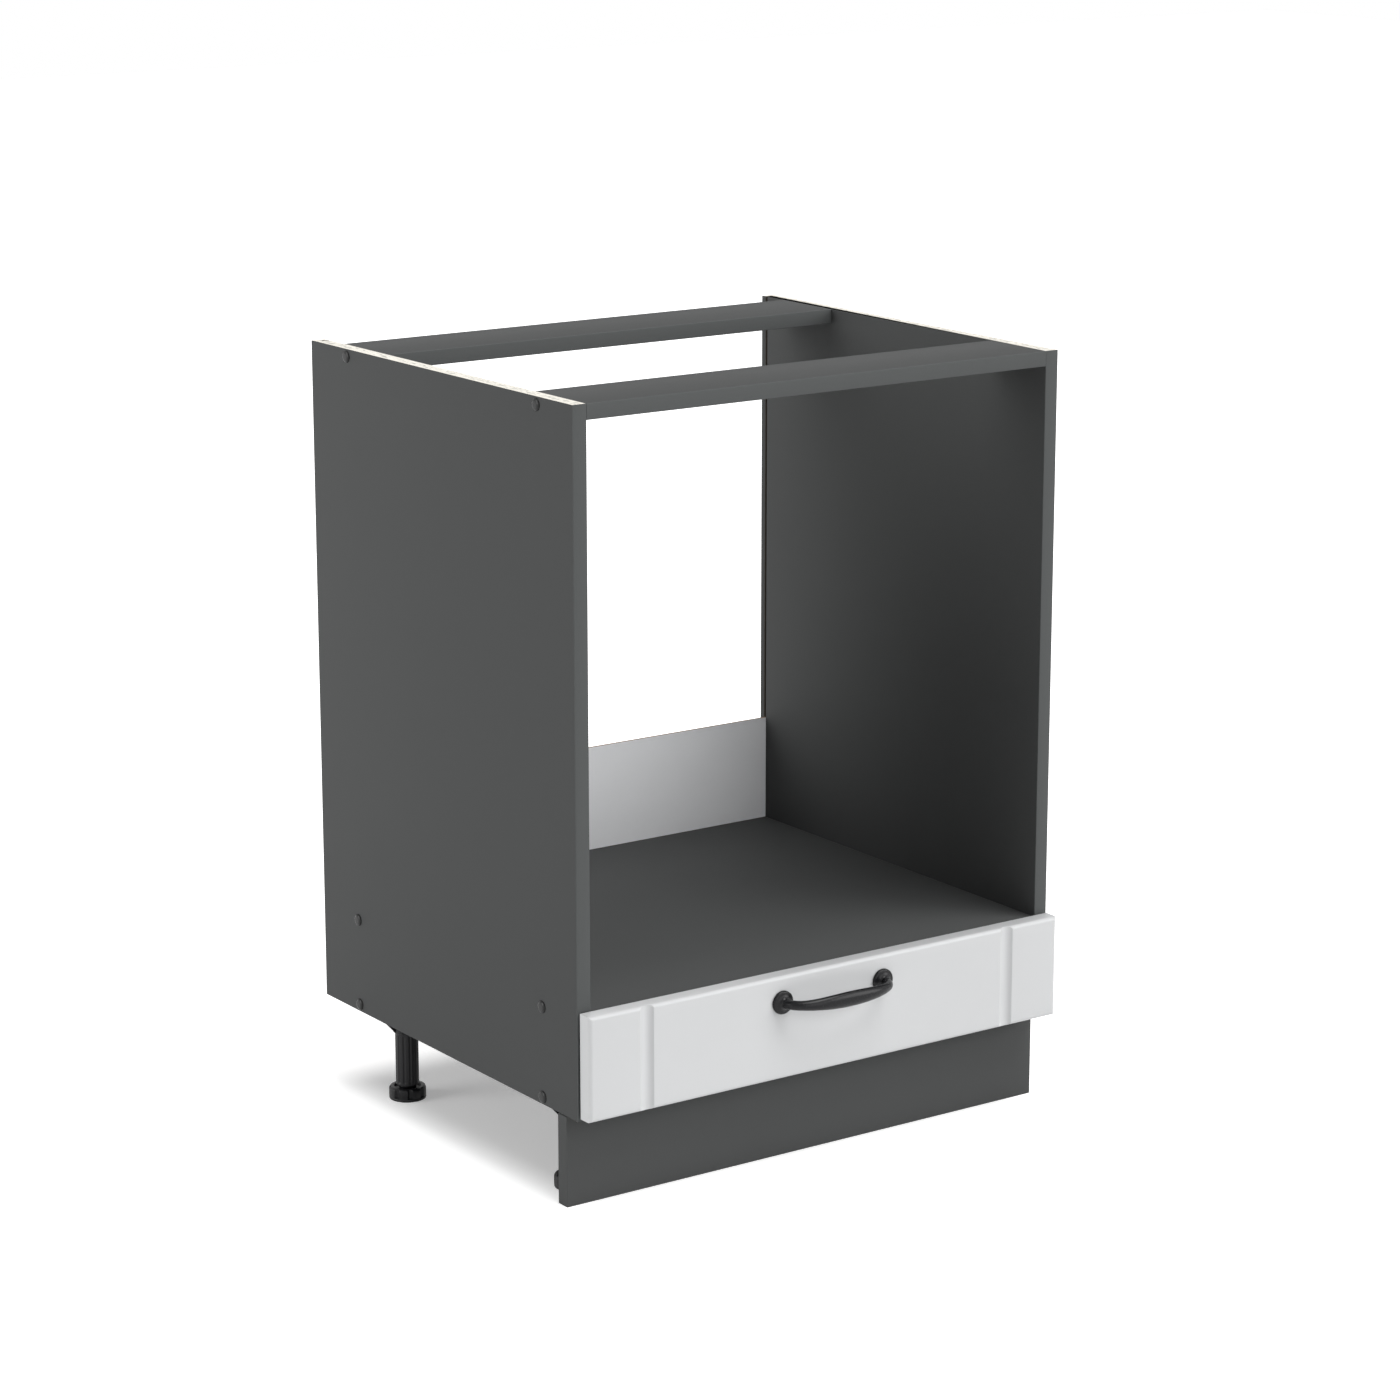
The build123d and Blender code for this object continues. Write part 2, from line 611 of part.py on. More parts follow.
def roller_pin(y, z, direction):
    """Left roller pin: riveted in its rail, with a shoulder and a head beside the roller."""
    shaft = PIN_DIAMETER / 2
    head = PIN_HEAD / 2
    shoulder = ROLLER_IN - STEEL - FIT
    roller_end = ROLLER_IN + ROLLER_WIDTH + FIT
    outline = [(0, 0), (shaft, 0), (shaft, STEEL), (head, STEEL), (head, STEEL + shoulder),
               (shaft, STEEL + shoulder), (shaft, roller_end), (head, roller_end),
               (head, roller_end + PIN_HEAD_HEIGHT), (0, roller_end + PIN_HEAD_HEIGHT)]
    x = -INNER if direction > 0 else -INNER + WALL_IN
    return turned((x, y, z), (direction, 0, 0), outline)


# Drawer

def drawer_front():
    """Drawer front with a rounded face edge, two upright coves and its screw holes."""
    half = OUTER - FRONT_MARGIN
    front = block(-half, half, FRONT_FACE_Y, FRONT_BACK_Y, FRONT_LIFT,
                  FRONT_LIFT + FRONT_HEIGHT)
    front = fillet(front.edges().group_by(Axis.Y)[0], FRONT_ROUNDING)
    cove = (COVE_WIDTH ** 2 / 4 + COVE_DEPTH ** 2) / (2 * COVE_DEPTH)
    for x in (-COVE_FROM_MIDDLE, COVE_FROM_MIDDLE):
        front -= rod((x, FRONT_FACE_Y + COVE_DEPTH - cove, FRONT_LIFT - OVERCUT), (0, 0, 1),
                     cove, FRONT_HEIGHT + 2 * OVERCUT)
    for sign in (1, -1):
        front -= rod((sign * HANDLE_SPACING / 2, FRONT_BACK_Y + OVERCUT, HANDLE_Z), (0, -1, 0),
                     HANDLE_SCREW / 2 + HANDLE_SCREW_PLAY, FRONT_BOARD + 2 * OVERCUT)
        for x, z in bracket_screw_spots():
            front -= rod((sign * x, FRONT_BACK_Y, z), (0, -1, 0), WOOD_SCREW / 2 + FIT,
                         WOOD_SCREW_LENGTH - BRACKET_PLATE)
    return front


def bow_point(share):
    """A point of the grip's centre line at a share of its half width: a half oval in plan,
    fuller than an ellipse, after the superellipse formula."""
    forward = max(0.0, 1 - abs(share) ** HANDLE_SQUARENESS) ** (1 / HANDLE_SQUARENESS)
    return Vector(share * HANDLE_SPACING / 2, FRONT_FACE_Y - HANDLE_REACH * forward, HANDLE_Z)


def bow_section(share):
    """Oval section of the grip, square to its centre line and thickest in the middle."""
    step = 0.002
    origin = bow_point(share)
    tangent = bow_point(share + step) - bow_point(share - step)
    swell = max(0.0, 1 - (2 * origin.X / GRIP_SWELL) ** 2) ** GRIP_SWELL_POWER
    height = NECK + (GRIP_HEIGHT - NECK) * swell
    depth = NECK + (GRIP_DEPTH - NECK) * swell
    plane = Plane(origin=origin, x_dir=(0, 0, 1), z_dir=tangent)
    return plane * Ellipse(height / 2, depth / 2)


def rosette():
    """Bell-shaped foot of the handle on the z axis: edge, rounding and a hollow curve that
    ends inside the leaning grip."""
    rim = ROSETTE / 2
    end = NECK / 2 - ROSETTE_TUCK
    round_top = ROSETTE_EDGE + ROSETTE_ROUNDING
    round_in = rim - ROSETTE_ROUNDING
    bend = ROSETTE_ROUNDING * sin(pi / 4)
    shoulder = (round_in + bend, ROSETTE_EDGE + bend)
    waist = (end + ROSETTE_HOLLOW * (round_in - end),
             round_top + ROSETTE_HOLLOW * (ROSETTE_HEIGHT - round_top))
    outline = Polyline((end, ROSETTE_HEIGHT), (0, ROSETTE_HEIGHT), (0, 0), (rim, 0),
                       (rim, ROSETTE_EDGE))
    outline += ThreePointArc((rim, ROSETTE_EDGE), shoulder, (round_in, round_top))
    outline += ThreePointArc((round_in, round_top), waist, (end, ROSETTE_HEIGHT))
    return revolve(Plane.XZ * make_face(outline), Axis.Z)


def handle():
    """Cast bow handle: a swelling grip between two bell-shaped feet."""
    half = [0.998, 0.985, 0.96, 0.92, 0.86, 0.77, 0.64, 0.47, 0.25]
    stations = half + [0.0] + [-share for share in reversed(half)]
    body = loft([bow_section(share) for share in stations])
    feet = [Plane(origin=(x, FRONT_FACE_Y, HANDLE_Z), z_dir=(0, -1, 0))
            for x in (-HANDLE_SPACING / 2, HANDLE_SPACING / 2)]
    for foot in feet:
        body += foot * rosette()
    for foot in feet:
        body -= rod(foot.origin, foot.z_dir, HANDLE_SCREW / 2 + FIT, HANDLE_SCREW_DEPTH)
    return body


def handle_screws():
    """Screws from behind the drawer front into the feet of the handle."""
    head = HANDLE_SCREW_HEAD / 2
    shank = HANDLE_SCREW / 2
    length = FRONT_BOARD + HANDLE_SCREW_DEPTH - HANDLE_SCREW_SPARE
    outline = [(0, -HANDLE_SCREW_HEAD_HEIGHT),
               (head - HANDLE_SCREW_HEAD_BEVEL, -HANDLE_SCREW_HEAD_HEIGHT),
               (head, HANDLE_SCREW_HEAD_BEVEL - HANDLE_SCREW_HEAD_HEIGHT), (head, 0),
               (shank, 0), (shank, length), (0, length)]
    return group(both_sides([turned((-HANDLE_SPACING / 2, FRONT_BACK_Y, HANDLE_Z), (0, -1, 0),
                                    outline)]))


def front_bumpers():
    """Soft dots behind the drawer front that meet the side panels."""
    x = -(OUTER + INNER) / 2
    length = FRONT_GAP - BUMPER_PLAY
    z = FRONT_LIFT + FRONT_HEIGHT - BUMPER
    return group(both_sides([rod((x, FRONT_BACK_Y, z), (0, 1, 0), BUMPER / 2, length)]))


def wall_section():
    """Left drawer wall in section: base lip, wall, rounded hood and outer skirt."""
    x_wall = -INNER + WALL_IN
    x_in = x_wall + STEEL
    x_out = -INNER + SKIRT_IN
    outer = make_face(Polyline((x_out, WALL_TOP_Z - SKIRT_HEIGHT), (x_out, WALL_TOP_Z),
                               (x_in, WALL_TOP_Z), (x_in, WALL_TOP_Z - SKIRT_HEIGHT),
                               close=True))
    outer = fillet(outer.vertices().group_by(Axis.Y)[-1], WALL_TOP_ROUNDING)
    inner = make_face(Polyline((x_out + STEEL, WALL_TOP_Z - SKIRT_HEIGHT - OVERCUT),
                               (x_out + STEEL, WALL_TOP_Z - STEEL),
                               (x_wall, WALL_TOP_Z - STEEL),
                               (x_wall, WALL_TOP_Z - SKIRT_HEIGHT - OVERCUT), close=True))
    inner = fillet(inner.vertices().group_by(Axis.Y)[-1], WALL_TOP_ROUNDING - STEEL)
    lower = make_face(Polyline((x_wall, LIP_Z), (x_wall + BASE_LIP, LIP_Z),
                               (x_wall + BASE_LIP, LIP_Z + STEEL), (x_in, LIP_Z + STEEL),
                               (x_in, WALL_TOP_Z - SKIRT_HEIGHT),
                               (x_wall, WALL_TOP_Z - SKIRT_HEIGHT), close=True))
    return outer - inner + lower


def drawer_wall():
    """Left folded steel drawer wall."""
    plane = Plane(origin=(0, WALL_START_Y, 0), x_dir=(1, 0, 0), z_dir=(0, -1, 0))
    wall = extrude(plane * wall_section(), WALL_START_Y - WALL_END_Y)
    for y, z in back_screw_spots():
        wall -= rod((-INNER + WALL_IN - OVERCUT, y, z), (1, 0, 0), WOOD_SCREW / 2 + FIT,
                    STEEL + 2 * OVERCUT)
    for x, y in base_screw_spots():
        wall -= rod((x, y, LIP_Z - OVERCUT), (0, 0, 1), WOOD_SCREW / 2 + FIT,
                    STEEL + 2 * OVERCUT)
    return wall


def drawer_runner():
    """Left drawer rail on the outside of the wall: a web and the flange that rides on the
    cabinet roller."""
    web_x = -INNER + WEB_IN
    low = TRACK_Z + RUNNER_PLAY
    top = RIDER_Z + STEEL
    rail = block(web_x, web_x + STEEL, WALL_START_Y, WALL_END_Y, low, top)
    rail += block(-INNER + SKIRT_IN, web_x + STEEL, WALL_START_Y, WALL_END_Y, RIDER_Z, top)
    rail -= rod((web_x - OVERCUT, REAR_ROLLER_Y, DRAWER_ROLLER_Z), (1, 0, 0),
                PIN_DIAMETER / 2 + FIT, STEEL + 2 * OVERCUT)
    return rail


def base_screw_spots():
    """(x, y) of the screws through the left base lip."""
    x = -BASE_HALF + (BASE_LIP - STEEL) / 2
    return [(x, y) for y in even(BASE_SCREWS, SCREW_FRONT, BACK_END_Y - SCREW_FRONT)]


def back_screw_spots():
    """(y, z) of the screws through the left drawer wall into the drawer back."""
    low = RIDER_Z + STEEL + WOOD_SCREW_HEAD
    high = BASE_Z + BOARD + BACK_HEIGHT - WOOD_SCREW_HEAD
    return [(BACK_END_Y - BOARD / 2, z) for z in (low, high)]


def drawer_base():
    """Chipboard base that lies on the lips of the walls."""
    base = block(-BASE_HALF, BASE_HALF, FRONT_BACK_Y, BACK_END_Y, BASE_Z, BASE_Z + BOARD)
    depth = WOOD_SCREW_LENGTH - STEEL
    for x, y in base_screw_spots():
        for sign in (1, -1):
            base -= rod((sign * x, y, BASE_Z), (0, 0, 1), WOOD_SCREW / 2 + FIT, depth)
    return base


def drawer_back():
    """Chipboard back that stands on the base between the walls."""
    z0 = BASE_Z + BOARD
    back = block(-BASE_HALF, BASE_HALF, BACK_END_Y - BOARD, BACK_END_Y, z0, z0 + BACK_HEIGHT)
    depth = WOOD_SCREW_LENGTH - STEEL
    for y, z in back_screw_spots():
        for sign in (1, -1):
            back -= rod((sign * -BASE_HALF, y, z), (sign, 0, 0), WOOD_SCREW / 2 + FIT, depth)
    return back


def bracket_screw_spots():
    """(x, z) of the screws of the left front bracket."""
    x = -INNER + BRACKET_SCREW_IN
    return [(x, BRACKET_Z - BRACKET_HOLES / 2), (x, BRACKET_Z + BRACKET_HOLES / 2)]


def front_bracket():
    """Left bracket: a plate on the drawer front and an arm inside the hollow wall."""
    low = BRACKET_Z - BRACKET_HEIGHT / 2
    high = BRACKET_Z + BRACKET_HEIGHT / 2
    plate_y = FRONT_BACK_Y + BRACKET_PLATE
    arm_x = -INNER + WALL_IN
    bracket = block(-INNER + SKIRT_IN, arm_x, FRONT_BACK_Y, plate_y, low, high)
    arm = block(arm_x - BRACKET_PLATE, arm_x, FRONT_BACK_Y, plate_y + BRACKET_ARM, low, high)
    tip = arm.edges().filter_by(Axis.X).group_by(Axis.Y)[-1]
    bracket += chamfer(tip, BRACKET_BEVEL)
    for x, z in bracket_screw_spots():
        bracket -= rod((x, FRONT_BACK_Y - OVERCUT, z), (0, 1, 0), WOOD_SCREW / 2 + FIT,
                       BRACKET_PLATE + 2 * OVERCUT)
    return bracket


def bracket_screws():
    """Screws that hold the front brackets to the drawer front."""
    head_y = FRONT_BACK_Y + BRACKET_PLATE
    return group(both_sides([wood_screw((x, head_y, z), (0, -1, 0))
                             for x, z in bracket_screw_spots()]))


def drawer_box_screws():
    """Screws through the walls into the base and the back of the drawer."""
    solids = [wood_screw((x, y, LIP_Z), (0, 0, 1)) for x, y in base_screw_spots()]
    solids += [wood_screw((-INNER + WALL_IN, y, z), (1, 0, 0)) for y, z in back_screw_spots()]
    return group(both_sides(solids))


# All nodes

def one_each():
    """Nodes that exist once."""
    return {
        "bottom_panel": bottom_panel(),
        "oven_shelf": with_strip_holes(cross_board(SHELF_Z, 0, BOARD_END_Y), SHELF_Z),
        "front_top_rail": cross_board(HEIGHT - BOARD, 0, TOP_RAIL),
        "rear_top_rail": cross_board(HEIGHT - BOARD, REAR_RAIL_Y, REAR_RAIL_Y + TOP_RAIL),
        "back_strip": back_strip(),
        "edge_bands": edge_bands(),
        "carcass_screws": carcass_screws(),
        "screw_cover_caps": cover_caps(),
        "wooden_dowels": wooden_dowels(),
        "strip_screws": strip_screws(),
        "leg_screws": leg_screws(),
        "plinth_panel": plinth_panel(),
        "plinth_clip_screws": clip_screws(),
        "runner_screws": runner_screws(),
        "drawer_front": drawer_front(),
        "drawer_base": drawer_base(),
        "drawer_back": drawer_back(),
        "handle": handle(),
        "handle_screws": handle_screws(),
        "front_bumpers": front_bumpers(),
        "bracket_screws": bracket_screws(),
        "drawer_box_screws": drawer_box_screws(),
        "cabinet_roller_pins": group(both_sides(
            [roller_pin(FRONT_ROLLER, CABINET_ROLLER_Z, 1)])),
        "drawer_roller_pins": group(both_sides(
            [roller_pin(REAR_ROLLER_Y, DRAWER_ROLLER_Z, -1)])),
    }


def left_and_right():
    """Nodes that exist on the left, each with a mirror image on the right."""
    nodes = {
        "side_panel": side_panel(),
        "plinth_clip": plinth_clip(),
        "cabinet_runner": cabinet_runner(),
        "drawer_wall": drawer_wall(),
        "drawer_runner": drawer_runner(),
        "front_bracket": front_bracket(),
        "cabinet_roller": roller(FRONT_ROLLER, CABINET_ROLLER_Z),
        "drawer_roller": roller(REAR_ROLLER_Y, DRAWER_ROLLER_Z),
    }
    for row, (x, y) in leg_spots().items():
        nodes[f"leg_socket_{row}"] = leg_socket(x, y)
        nodes[f"leg_tube_{row}"] = leg_tube(x, y)
        nodes[f"foot_{row}"] = levelling_foot(x, y)
    return nodes


def main():
    """Write every node to its own file."""
    os.makedirs("parts", exist_ok=True)
    nodes = one_each()
    for name, shape in left_and_right().items():
        nodes[f"{name}_left"] = shape
        nodes[f"{name}_right"] = right_of(shape)
    for name, shape in nodes.items():
        export_step(FRAME * shape, f"parts/{name}.step")


main()
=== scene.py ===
import logging
import math
from dataclasses import dataclass
from enum import Enum
from typing import Callable, ClassVar, Iterable

import bpy
import numpy as np
from mathutils import Matrix, Vector


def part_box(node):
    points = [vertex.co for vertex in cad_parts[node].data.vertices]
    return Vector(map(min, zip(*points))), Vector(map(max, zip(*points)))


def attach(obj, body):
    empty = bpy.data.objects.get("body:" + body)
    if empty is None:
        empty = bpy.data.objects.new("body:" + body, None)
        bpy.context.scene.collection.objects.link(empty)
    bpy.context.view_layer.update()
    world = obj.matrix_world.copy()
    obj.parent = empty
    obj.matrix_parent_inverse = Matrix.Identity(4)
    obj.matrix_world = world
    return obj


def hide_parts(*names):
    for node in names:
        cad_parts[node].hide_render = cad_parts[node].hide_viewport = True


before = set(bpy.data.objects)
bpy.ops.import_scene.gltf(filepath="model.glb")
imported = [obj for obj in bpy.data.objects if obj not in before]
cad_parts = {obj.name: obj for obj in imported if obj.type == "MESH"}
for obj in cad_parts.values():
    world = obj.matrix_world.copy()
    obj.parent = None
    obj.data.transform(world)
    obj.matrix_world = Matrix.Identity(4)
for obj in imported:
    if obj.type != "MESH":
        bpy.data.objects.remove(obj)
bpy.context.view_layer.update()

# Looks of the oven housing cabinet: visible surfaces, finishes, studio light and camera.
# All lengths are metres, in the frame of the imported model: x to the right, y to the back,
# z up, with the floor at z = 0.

LOG = logging.getLogger("oven_housing")
Array = np.ndarray

# The carcass is drawn from its front edge and underside; these carry that into the frame.
FRONT_Y = -0.22225
UNDER_Z = 0.097

# Sizes that several sub-assemblies share.
INNER_X = 0.284  # inner face of the side panels
FRONT_REAR_Y = FRONT_Y - 0.002  # rear face of the drawer front
LEG_X = 0.260  # axes of the legs
STEEL = 0.0012  # sheet of the drawer walls and rails
GAP = 5e-5  # clearance between pieces that slide or turn
HAIR = 1e-4  # the least rounding
EASE = 2e-4  # rounding of sheet and board edges
EDGE = 3e-4  # rounding of moulded edges
CLOSE_R = 1e-3  # radius at which a flat face closes a turned shape

WHITE = (1.0, 1.0, 1.0, 1.0)

# Least cosine between an axis and the normal of a face that looks along it.
SQUARE = 0.95


class Slot(Enum):
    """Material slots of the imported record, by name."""

    BOARD = "grey_board"
    BAND = "grey_edge_band"
    HARDBOARD = "light_grey_hardboard"
    DRAWER_BOARD = "light_grey_board"
    FRONT = "white_front"
    CAP = "grey_cap"
    ZINC = "zinc_steel"
    PLASTIC = "black_plastic"
    COATED_STEEL = "painted_steel"
    NYLON = "white_nylon"
    CAST = "dark_cast_metal"
    BUMPER = "clear_bumper"


class Side(Enum):
    """Which side of the cabinet a mirrored piece is on; the value is the sign of x."""

    LEFT = -1
    RIGHT = 1

    @property
    def word(self) -> str:
        """The side's word in piece names."""
        return self.name.lower()


class Row(Enum):
    """Front or rear legs; the value is the y of the leg's axis."""

    FRONT = FRONT_Y + 0.070
    REAR = FRONT_Y + 0.398

    @property
    def word(self) -> str:
        """The row's word in piece names."""
        return self.name.lower()


# Surfaces


@dataclass
class Skin:
    """Points and faces of a closed surface, before it becomes a mesh.

    Attributes:
        points: Array of shape (n, 3).
        faces: Corner numbers of each face.
        paint: Material number of each face.
    """

    points: Array
    faces: list[list[int]]
    paint: list[int]

    def volume(self) -> float:
        """Signed volume: the sum over faces of the tetrahedra of a fan with the origin."""
        total = 0.0
        sizes = np.array([len(f) for f in self.faces])
        for size in np.unique(sizes):
            chosen = np.array([f for f in self.faces if len(f) == size])
            corners = self.points[chosen]
            first = corners[:, :1]
            fans = np.cross(corners[:, 1:-1], corners[:, 2:])
            total += float((first * fans).sum()) / 6
        return total

    def outward(self) -> "Skin":
        """The same surface with all its faces pointing out."""
        if self.volume() < 0:
            self.faces = [face[::-1] for face in self.faces]
        return self

    def painted(self, numbers: Array) -> "Skin":
        """The same surface with a material number for each face."""
        self.paint = np.asarray(numbers).astype(int).tolist()
        return self

    def moved(self, matrix: Matrix) -> "Skin":
        """The surface after a change of place, with its faces pointing out again.

        Args:
            matrix: A 4 x 4 matrix, which may mirror.

        Returns:
            A new surface.
        """
        m = np.array(matrix)
        points = self.points @ m[:3, :3].T + m[:3, 3]
        return Skin(points, [list(f) for f in self.faces], list(self.paint)).outward()


def joined(skins: Iterable[Skin]) -> Skin:
    """Several closed surfaces as one.

    Args:
        skins: The surfaces, which may pass through each other.

    Returns:
        One surface that keeps each part's faces and paint.
    """
    points, faces, paint, start = [], [], [], 0
    for skin in skins:
        points.append(skin.points)
        faces += [[start + i for i in face] for face in skin.faces]
        paint += skin.paint
        start += len(skin.points)
    return Skin(np.concatenate(points), faces, paint)


def grid_squares(rows: int, columns: int, around: bool) -> Array:
    """Corner numbers of the squares of a grid of points stored row by row.

    Args:
        rows: Number of rows.
        columns: Points in each row.
        around: Whether the last point of a row joins the first.

    Returns:
        Array of shape (squares, 4).
    """
    r = np.arange(rows - 1)[:, None]
    c = np.arange(columns if around else columns - 1)[None, :]
    n = (c + 1) % columns
    square = [r * columns + c, r * columns + n, (r + 1) * columns + n, (r + 1) * columns + c]
    return np.stack(square, -1).reshape(-1, 4)


def tube(rings: Array) -> Skin:
    """Closed surface through a stack of closed rings, each end shut by one flat face.

    Args:
        rings: Array of shape (rings, points, 3).

    Returns:
        The surface.
    """
    rows, columns = rings.shape[:2]
    faces = grid_squares(rows, columns, True).tolist()
    faces.append(list(range(columns))[::-1])
    faces.append(list(range((rows - 1) * columns, rows * columns)))
    return Skin(rings.reshape(-1, 3), faces, [0] * len(faces)).outward()


def hoop(rings: Array) -> Skin:
    """Closed surface like a tyre: the last ring joins the first.

    Args:
        rings: Array of shape (rings, points, 3).

    Returns:
        The surface.
    """
    rows, columns = rings.shape[:2]
    squares = grid_squares(rows + 1, columns, True) % (rows * columns)
    return Skin(rings.reshape(-1, 3), squares.tolist(), [0] * len(squares)).outward()


def rounded(corners: Iterable, radii: float | Iterable[float], steps: int) -> Array:
    """Closed outline with an arc at every corner.

    At each corner the arc starts and ends a tangent length (radius over the tangent of half
    the corner's angle) away, and its points swing evenly about the centre on the bisector.

    Args:
        corners: Points (n, 2) in order.
        radii: One radius, or one for each corner.
        steps: Pieces of each arc.

    Returns:
        Array of shape (n * (steps + 1), 2).
    """
    p = np.asarray(corners, float)
    r = np.broadcast_to(np.asarray(radii, float), len(p))[:, None]
    a = np.roll(p, 1, 0) - p
    b = np.roll(p, -1, 0) - p
    a /= np.linalg.norm(a, axis=1, keepdims=True)
    b /= np.linalg.norm(b, axis=1, keepdims=True)
    half = np.arccos(np.clip((a * b).sum(1, keepdims=True), -1, 1)) / 2
    bisector = (a + b) / np.linalg.norm(a + b, axis=1, keepdims=True)
    centre = p + bisector * r / np.sin(half)
    start = p + a * r / np.tan(half) - centre
    end = p + b * r / np.tan(half) - centre
    swing = math.pi - 2 * half[:, :, None]
    s = np.linspace(0, 1, steps + 1)[None, :, None]
    arc = (np.sin((1 - s) * swing) * start[:, None] + np.sin(s * swing) * end[:, None])
    return (centre[:, None] + arc / np.sin(swing)).reshape(-1, 2)


def shrunk(outline: Array, by: float) -> Array:
    """A closed outline moved inwards by a small distance, along the mean normal of its edges.

    Args:
        outline: Points (n, 2) in order.
        by: The distance.

    Returns:
        Array of the same shape.
    """
    edge = np.roll(outline, -1, 0) - outline
    normal = np.stack([-edge[:, 1], edge[:, 0]], 1)
    normal /= np.linalg.norm(normal, axis=1, keepdims=True)
    mean = normal + np.roll(normal, 1, 0)
    mean /= (mean ** 2).sum(1, keepdims=True) / 2
    x, y = outline.T
    turning = np.sign((x * np.roll(y, -1) - np.roll(x, -1) * y).sum())
    return outline + mean * by * turning


def prism(outline: Array, axis: str, low: float, high: float, bevel: float = EDGE) -> Skin:
    """An outline carried straight along an axis, with a small bevel at both ends.

    Args:
        outline: Points (n, 2) on the two other axes, in the order x, y, z.
        axis: "x", "y" or "z".
        low: Where the prism starts on the axis.
        high: Where it ends.
        bevel: Size of the bevels.

    Returns:
        The closed surface.
    """
    inner = shrunk(outline, bevel)
    places = (low, low + bevel, high - bevel, high)
    index = "xyz".index(axis)
    rings = np.stack([np.insert(flat, index, place, axis=1)
                      for flat, place in zip((inner, outline, outline, inner), places)])
    return tube(rings)


def slab(low: Iterable[float], high: Iterable[float], axis: str,
         radius: float = EDGE) -> Skin:
    """A box with slightly rounded edges: a rounded rectangle carried along an axis.

    Args:
        low: Lowest corner.
        high: Highest corner.
        axis: The axis that it is carried along.
        radius: Radius of the long edges, and size of the bevel at the ends.

    Returns:
        The closed surface.
    """
    keep = ["xyz".index(letter) for letter in "xyz" if letter != axis]
    low, high = np.array(low, float), np.array(high, float)
    (u0, v0), (u1, v1) = low[keep], high[keep]
    outline = rounded([(u0, v0), (u1, v0), (u1, v1), (u0, v1)], radius, 2)
    index = "xyz".index(axis)
    return prism(outline, axis, low[index], high[index], radius)


def node_slab(node: str, axis: str, radius: float = EDGE) -> Skin:
    """A box with slightly rounded edges that fills the box of a CAD node."""
    low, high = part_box(node)
    return slab(low, high, axis, radius)


def frame_of(axis: Iterable[float]) -> tuple[Array, Array, Array]:
    """Two directions across an axis, each the cross product of two others, and the axis.

    Args:
        axis: Direction of the axis, of any length.

    Returns:
        Three unit vectors.
    """
    along = np.array(axis, float)
    along /= np.linalg.norm(along)
    side = np.array((0.0, 0.0, 1.0) if abs(along[2]) < 0.9 else (1.0, 0.0, 0.0))
    across = np.cross(side, along)
    across /= np.linalg.norm(across)
    return across, np.cross(along, across), along


def swept_round(radius: Array, height: Array, start: Iterable[float],
                axis: Iterable[float]) -> Array:
    """Rings of a turned shape: each point is the start, plus the height along the axis, plus
    the radius in a direction that goes round the axis once.

    Args:
        radius: Array (rings, points).
        height: Array of the same shape.
        start: A point on the axis.
        axis: Direction of the axis.

    Returns:
        Array of shape (rings, points, 3).
    """
    across, up, along = frame_of(axis)
    angle = angles(radius.shape[1])[None, :, None]
    spoke = across * np.cos(angle) + up * np.sin(angle)
    return np.array(start, float) + spoke * radius[..., None] + along * height[..., None]


def angles(count: int) -> Array:
    """Evenly spaced angles once round."""
    return np.arange(count) * 2 * math.pi / count


def off_middle(turn: Array, count: int) -> Array:
    """Angle from each direction to the middle of its share, of a number of equal shares."""
    step = math.tau / count
    return np.abs((turn % step) - step / 2)


def ray_to_circle(off: Array, centre: float, radius: float, miss: float) -> Array:
    """Distance at which a ray from the axis meets a circle.

    It is the centre's distance times the cosine of the angle between the two, less the root
    of what the squared radius has over the squared sine part of that distance.

    Args:
        off: Angle between the ray and the line to the circle's centre.
        centre: Distance of the centre from the axis.
        radius: Radius of the circle.
        miss: What is given for a ray that passes by.

    Returns:
        The distance for each angle.
    """
    inside = np.maximum(radius ** 2 - (centre * np.sin(off)) ** 2, 0)
    return np.where(inside > 0, centre * np.cos(off) - np.sqrt(inside), miss)


def stacked(parts: Iterable[tuple], sides: int) -> tuple[Array, Array]:
    """Radius and height of every point of a turned shape, from its parts put on end.

    Args:
        parts: (radius, height) of each part. Each is a number for one ring, a column with a
            number for each ring, or a whole grid.
        sides: Points round the axis.

    Returns:
        Two arrays of shape (rings, sides).
    """
    whole = np.ones((1, sides))
    radius, height = zip(*((np.atleast_2d(a) * whole, np.atleast_2d(b) * whole)
                           for a, b in parts))
    return np.vstack(radius), np.vstack(height)


def turned(outline: Iterable, start: Iterable[float], axis: Iterable[float],
           sides: int) -> Skin:
    """An outline of (radius, height) turned about an axis.

    Args:
        outline: Points (n, 2), all with a radius above zero.
        start: A point on the axis.
        axis: Direction of the axis.
        sides: Points round the axis.

    Returns:
        The closed surface.
    """
    flat = np.asarray(outline, float)
    return tube(swept_round(*stacked([(flat[:, :1], flat[:, 1:])], sides), start, axis))


def arc(centre: tuple[float, float], radius: float, first: float, last: float,
        steps: int) -> Array:
    """Points of an arc: the centre plus the radius at angles from first to last, in degrees."""
    angle = np.radians(np.linspace(first, last, steps + 1))
    return np.array(centre) + radius * np.stack([np.cos(angle), np.sin(angle)], 1)


